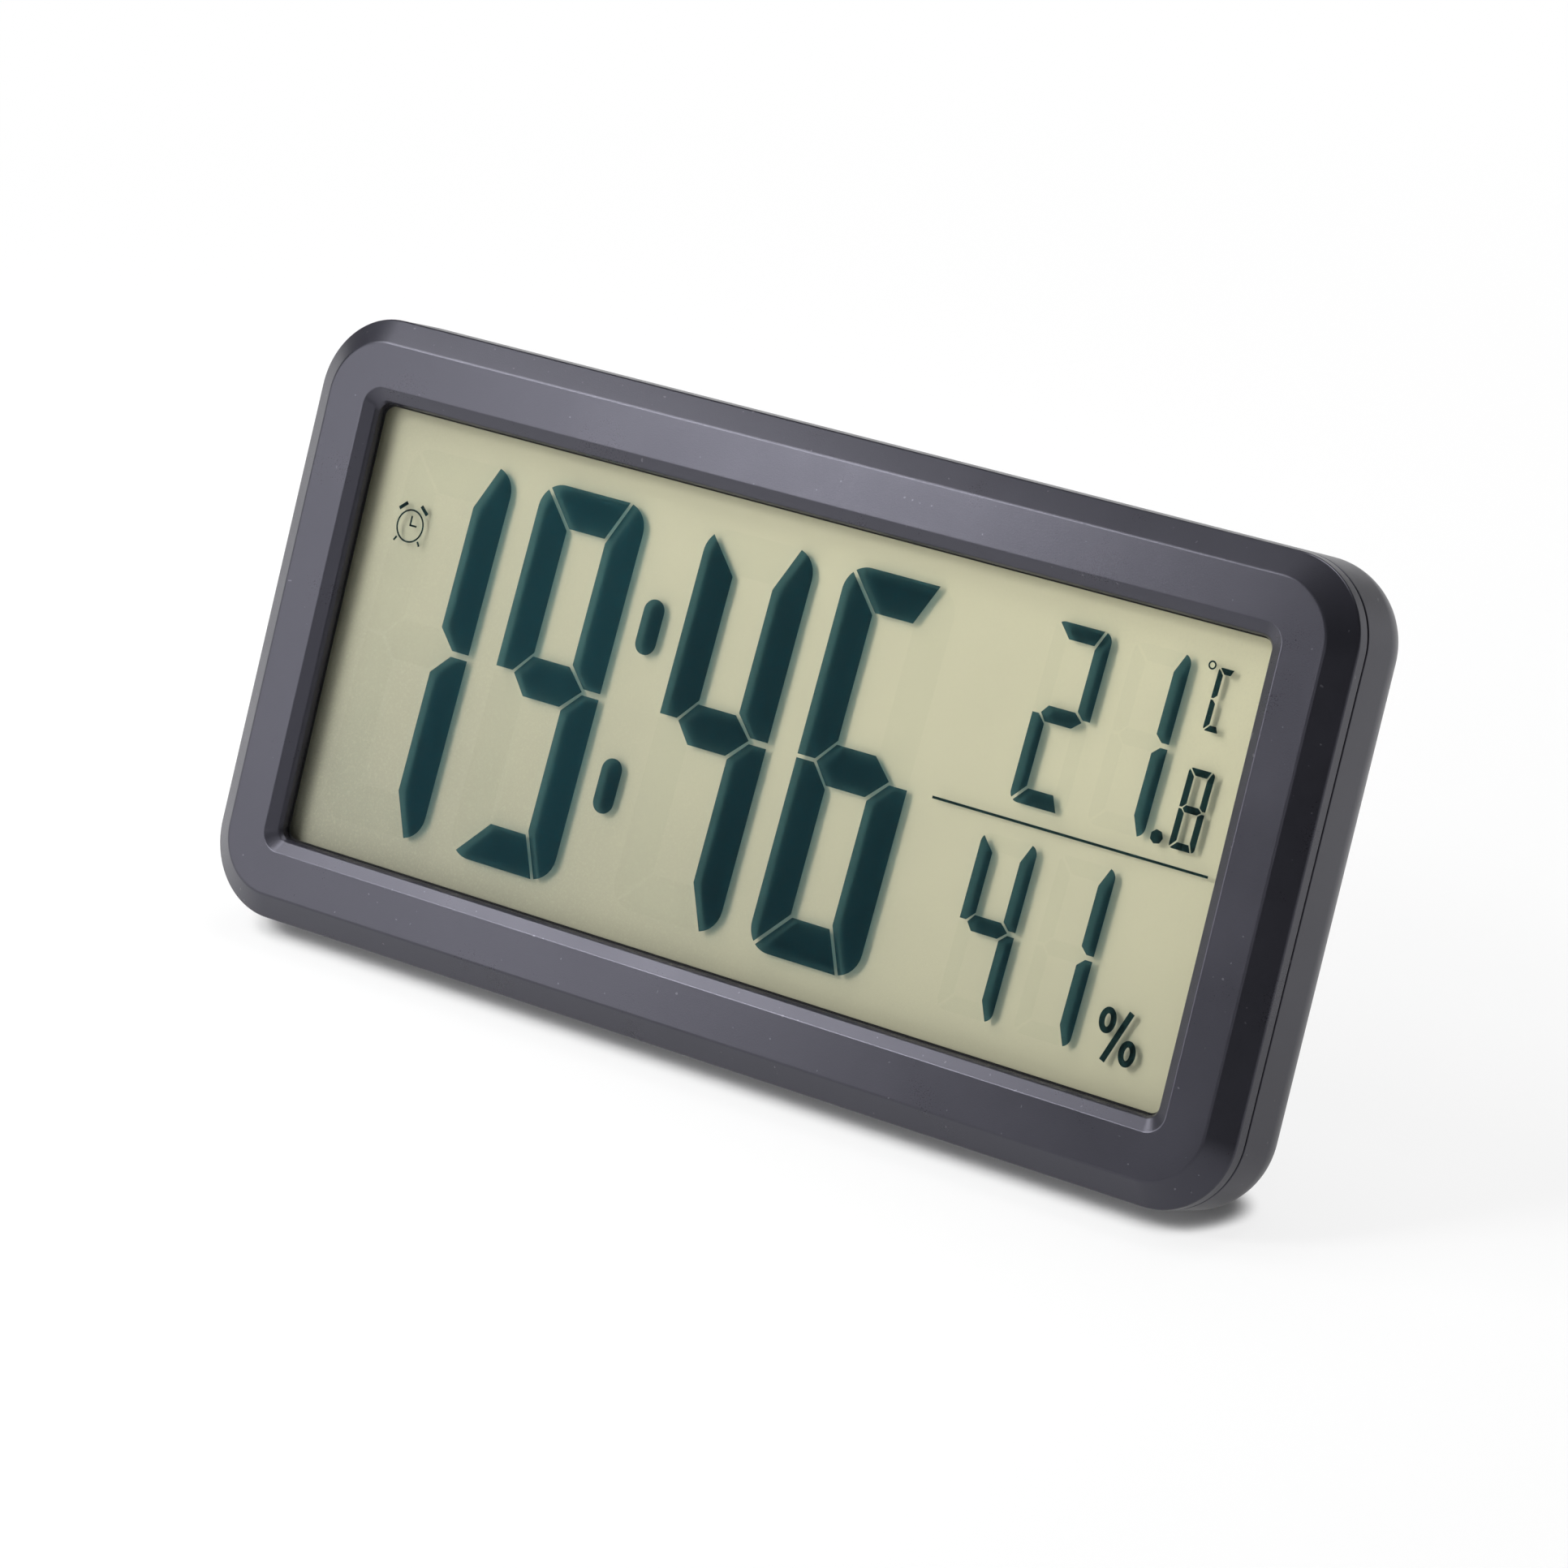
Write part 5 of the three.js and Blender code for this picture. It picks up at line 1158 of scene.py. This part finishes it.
# finish, then x, depth and height of the points that the lead passes
ROUTES = {
    "lead_positive": ("red_wire", [
        (CELL_X[0], CELL_DEPTH, 27.8), (CELL_X[0], CELL_DEPTH, 28.8), (52.6, 10.81, 31.46),
        (48, 10.81, 31.46), (43, 10.71, 31.46), (43, 9.71, 31.46), (43, 8.71, 31.46),
    ]),
    "lead_negative": ("black_wire", [
        (CELL_X[1], CELL_DEPTH, 27.8), (CELL_X[1], CELL_DEPTH, 28.8), (63.6, 13.51, 33.9),
        (48, 13.51, 33.9), (40.6, 10.71, 33.9), (40.6, 9.71, 33.9), (40.6, 8.71, 33.9),
    ]),
    "piezo_lead_1": ("red_wire", [
        (-43.67, 14.16, -11.67), (-43.67, 13.16, -11.67), (-42.67, 11.16, -8.67), (-40.67, 11.71, 2.4),
        (-40.67, 10.71, 10.4), (-40.67, 9.71, 11.4), (-40.67, 8.71, 11.4),
    ]),
    "piezo_lead_2": ("black_wire", [
        (-37.5, 14.51, -11.67), (-37.5, 13.51, -11.67), (-36.5, 11.51, -8.67), (-36.67, 11.71, 2.4),
        (-36.67, 10.71, 10.4), (-36.67, 9.71, 11.4), (-36.67, 8.71, 11.4),
    ]),
}
for node, (wire, route) in ROUTES.items():
    strand = tube(node.replace("lead", "strand"), smooth_route(route), WIRE_RADIUS)
    dress(strand, wires[wire], "housing", wire, [node])
print("leads:", ", ".join(ROUTES))

# %% [markdown]
# Inside the housing sit the board, its components, the rubber connector strip and a foam strip.
# They are hardly ever seen, but each still gets its own finish, and the two soft strips are remade with
# rounded edges because rubber and foam have no sharp corners. A thin black ring between the bezel's lip
# and the pane is painted shade: it stands in for the shadow that shows as a dark line round the window.

# %% Rubber, foam and small parts
def striped_rubber(name):
    """Thin dark and grey layers across the strip, as in a conductive rubber connector."""
    made, tree, place = new_finish(name)
    stripes = {"Vector": place, "Scale": 900.0}
    layers = tree.node("ShaderNodeTexWave", {"bands_direction": "X"}, stripes, output=1)
    wear(tree, surface(tree, {
        "Base Color": layers.between(0.4, 0.6).blend(rgb(24, 24, 26), rgb(110, 108, 112)),
        "Roughness": 0.7 + (layers - 0.5) * 0.1,
    }))
    return made


def printed_board(name):
    """Green lacquer over copper tracks that show as lighter lines."""
    made, tree, place = new_finish(name)
    grid = {"Vector": place, "Scale": 160.0, "Mortar Size": 0.012, "Mortar Smooth": 0.2}
    tracks = tree.node("ShaderNodeTexBrick", {"offset": 0.5}, grid, output=1)
    fine = place.noise(2500, 2)
    wear(tree, surface(tree, {
        "Base Color": tracks.blend(rgb(24, 84, 50), rgb(58, 122, 74)),
        "Roughness": 0.34 + (fine - 0.5) * 0.15,
        "Normal": tracks.bump(0.00003, 0.4),
    }))
    return made


resin = plain_finish("black resin", rgb(20, 20, 23), rgb(30, 30, 33), 0.32, 900, 0.00002)
ceramic = plain_finish("white ceramic", rgb(214, 212, 202), rgb(202, 199, 188), 0.55, 2200, 0.00001)
for node in ["chip_blob", "capacitor", "thermistor"] + [f"switch_{i}" for i in range(1, 5)]:
    refinish(node, resin)
for node in ["humidity_sensor", "piezo_ceramic"] + [f"switch_plunger_{i}" for i in range(1, 5)]:
    refinish(node, ceramic)
refinish("lcd_retainer", key_finish)
refinish("main_board", printed_board("printed board"))
connector = plate("connector_strip", (98.0, 2.1), 0.4, (-8.5, 33.49), 3.81, 7.21, 0.2)
dress(connector, striped_rubber("striped rubber"), "housing", "soft_rubber", ["zebra_strip"])
foam = plate("foam_pad", (94.0, 4.0), 0.8, (-8.5, 12.0), 5.31, 7.21, 0.5)
foam_finish = plain_finish("open foam", rgb(40, 40, 42), rgb(58, 58, 60), 0.9, 1800, 0.00015)
dress(foam, foam_finish, "housing", "soft_rubber", ["foam_strip"])
# painted shade: a thin black ring under the window's lip for the dark shadow line round the display
shade_ring_insets, shade_ring_depths = [10.6, 11.52, 11.52, 10.6], [2.62, 2.62, 2.7, 2.7]
shade_ring_outlines = housing_rings(shade_ring_insets, shade_ring_depths, WINDOW_SHRINK, WINDOW_CORNER)
shade_ring = solid("window_shade_ring", shade_ring_outlines, looped=True)
shade_ring_finish = plain_finish("black shade ring", rgb(12, 12, 13), rgb(18, 18, 19), 0.9, 1500, 0.00002)
dress(shade_ring, shade_ring_finish, "housing", "soft_rubber")
print("inside parts finished")

# %% [markdown]
# The clock stands on a plain white table. To the camera and in reflections it mostly shows as an even
# white, but part of it stays a lit surface that takes the clock's shadow. Close to the clock, where an
# occlusion mask finds little of the room in sight, the white share falls, so the table's real shadow
# shows there as a thin dark line of contact; where this line falls is painted shade set by the mask.

# %% White table
CONTACT_WHITE, OPEN_WHITE, MIRROR_WHITE = 0.05, 0.81, 0.35


def kinds_of_ray(tree):
    """1 for rays from the camera, and 1 for rays that a surface has mirrored or let through."""
    outputs = tree.node("ShaderNodeLightPath").socket.node.outputs
    names = ("Is Camera Ray", "Is Glossy Ray", "Is Transmission Ray")
    seen, mirrored, through = (Signal(tree.tree, outputs[name]) for name in names)
    return seen, mirrored + through > 0.5


def white_table(name):
    """Lit white for most rays; for the eye and for reflections mostly an even white, lowered by an
    occlusion mask to paint a contact shadow close to the clock.
    """
    made, tree, place = new_finish(name)
    seen, mirrored = kinds_of_ray(tree)
    # painted shade: occlusion lowers the white share near the clock, so the lit table's shadow shows as
    # a contact line
    open_sky = tree.node("ShaderNodeAmbientOcclusion", {"samples": 12}, {"Distance": 0.0035}, output=1)
    near_white = CONTACT_WHITE + open_sky.between(0.3, 0.9) * (OPEN_WHITE - CONTACT_WHITE)
    distance = tree.node("ShaderNodeVectorMath", {"operation": "LENGTH"}, {0: place}, output=1)
    far = distance.between(0.12, 0.45)
    share = seen * (near_white + (1 - near_white) * far)
    share = share + mirrored * (MIRROR_WHITE + (1 - MIRROR_WHITE) * far)
    lit_table = tree.node("ShaderNodeBsdfDiffuse", None, {"Color": (0.9, 0.9, 0.9, 1)})
    even_white = tree.node("ShaderNodeEmission", None, {"Color": (1, 1, 1, 1), "Strength": 1.0})
    wear_mix(tree, share, lit_table, even_white)
    return made


table = block("table", (-4000, -4000, -20), (4000, 4000, 0), on_table)
table.data.materials.append(white_table("white table"))
print("table width, m:", round(table.dimensions.x, 2))

# %% [markdown]
# Behind the table the camera sees an even white. Reflections see a dim room with a bright low wall
# instead, and a dark curtain in front at the right keeps the right-hand chamfer dark.

# %% Background
ROOM_LIGHT, DARK_WALL = 0.1, 0.03
CURTAIN_DIRECTION = (0.574, -0.819, 0)
world = bpy.data.worlds.new("studio")
world.use_nodes = True
world.node_tree.nodes.clear()
sky = Signal(world.node_tree)
direction = sky.node("ShaderNodeTexCoord", output=0)
rise = sky.node("ShaderNodeSeparateXYZ", None, {"Vector": direction}, output=2)
towards = {0: direction, 1: CURTAIN_DIRECTION}
curtain = sky.node("ShaderNodeVectorMath", {"operation": "DOT_PRODUCT"}, towards, output=1)
bright = (1 - rise.between(0.03, 0.17)) * (1 - curtain.between(0.75, 0.95))
low_wall = DARK_WALL + bright * (1 - DARK_WALL)
seen, mirrored = kinds_of_ray(sky)
strength = seen + (1 - seen) * (ROOM_LIGHT + mirrored * (low_wall - ROOM_LIGHT))
background = sky.node("ShaderNodeBackground", None, {"Color": (1, 1, 1, 1), "Strength": strength})
sky.node("ShaderNodeOutputWorld", None, {"Surface": background})
bpy.context.scene.world = world
print("background:", world.name)

# %% [markdown]
# The main soft box is high at the left and throws the digits' small shadows. Weaker ones show as
# the sheen on the band and on the slopes, and two behind brighten the table. Each is given by its
# angles round the point that it faces, as one would set it up in a studio.

# %% Soft boxes
def soft_box(name, azimuth, elevation, distance, size, power, aim=(0, 0, 0.04)):
    """Square lamp at an angle round its aim (0 in front, negative to the left), facing it."""
    lamp = placed(name, bpy.data.lights.new(name, "AREA"))
    lamp.data.shape = "SQUARE"
    lamp.data.size = size
    lamp.data.energy = power
    a, e = math.radians(azimuth), math.radians(elevation)
    away = np.array([math.sin(a) * math.cos(e), -math.cos(a) * math.cos(e), math.sin(e)])
    lamp.location = (np.array(aim) + distance * away).tolist()
    lamp.rotation_euler = (math.pi / 2 - e, 0, a)
    lamp.visible_camera = False


# name, azimuth and elevation in degrees, distance and size in metres, power in watts, and the aim
SOFT_BOXES = [
    ("key soft box", -46, 40, 1.0, 0.24, 3.8),
    ("upper left soft box", -68, 53, 1.0, 0.55, 1.2),
    ("low left soft box", -46, 13, 1.0, 0.34, 1.2),
    ("near left lamp", -70, 60, 0.4, 0.16, 0.55, (-0.08, 0, 0.04)),
    ("near front lamp", -35, 23, 0.3, 0.08, 0.2, (0.0, 0, 0.075)),
    ("near low lamp", -36, 16, 0.3, 0.08, 0.05, (0.015, 0, 0.0)),
    ("front fill", 17, 19, 1.0, 0.26, 0.45),
    ("back soft box", -172, 66, 1.0, 0.5, 4.2),
    ("back right soft box", 140, 62, 1.0, 0.45, 1.7),
]
for settings in SOFT_BOXES:
    soft_box(*settings)
print("soft boxes:", len(SOFT_BOXES))
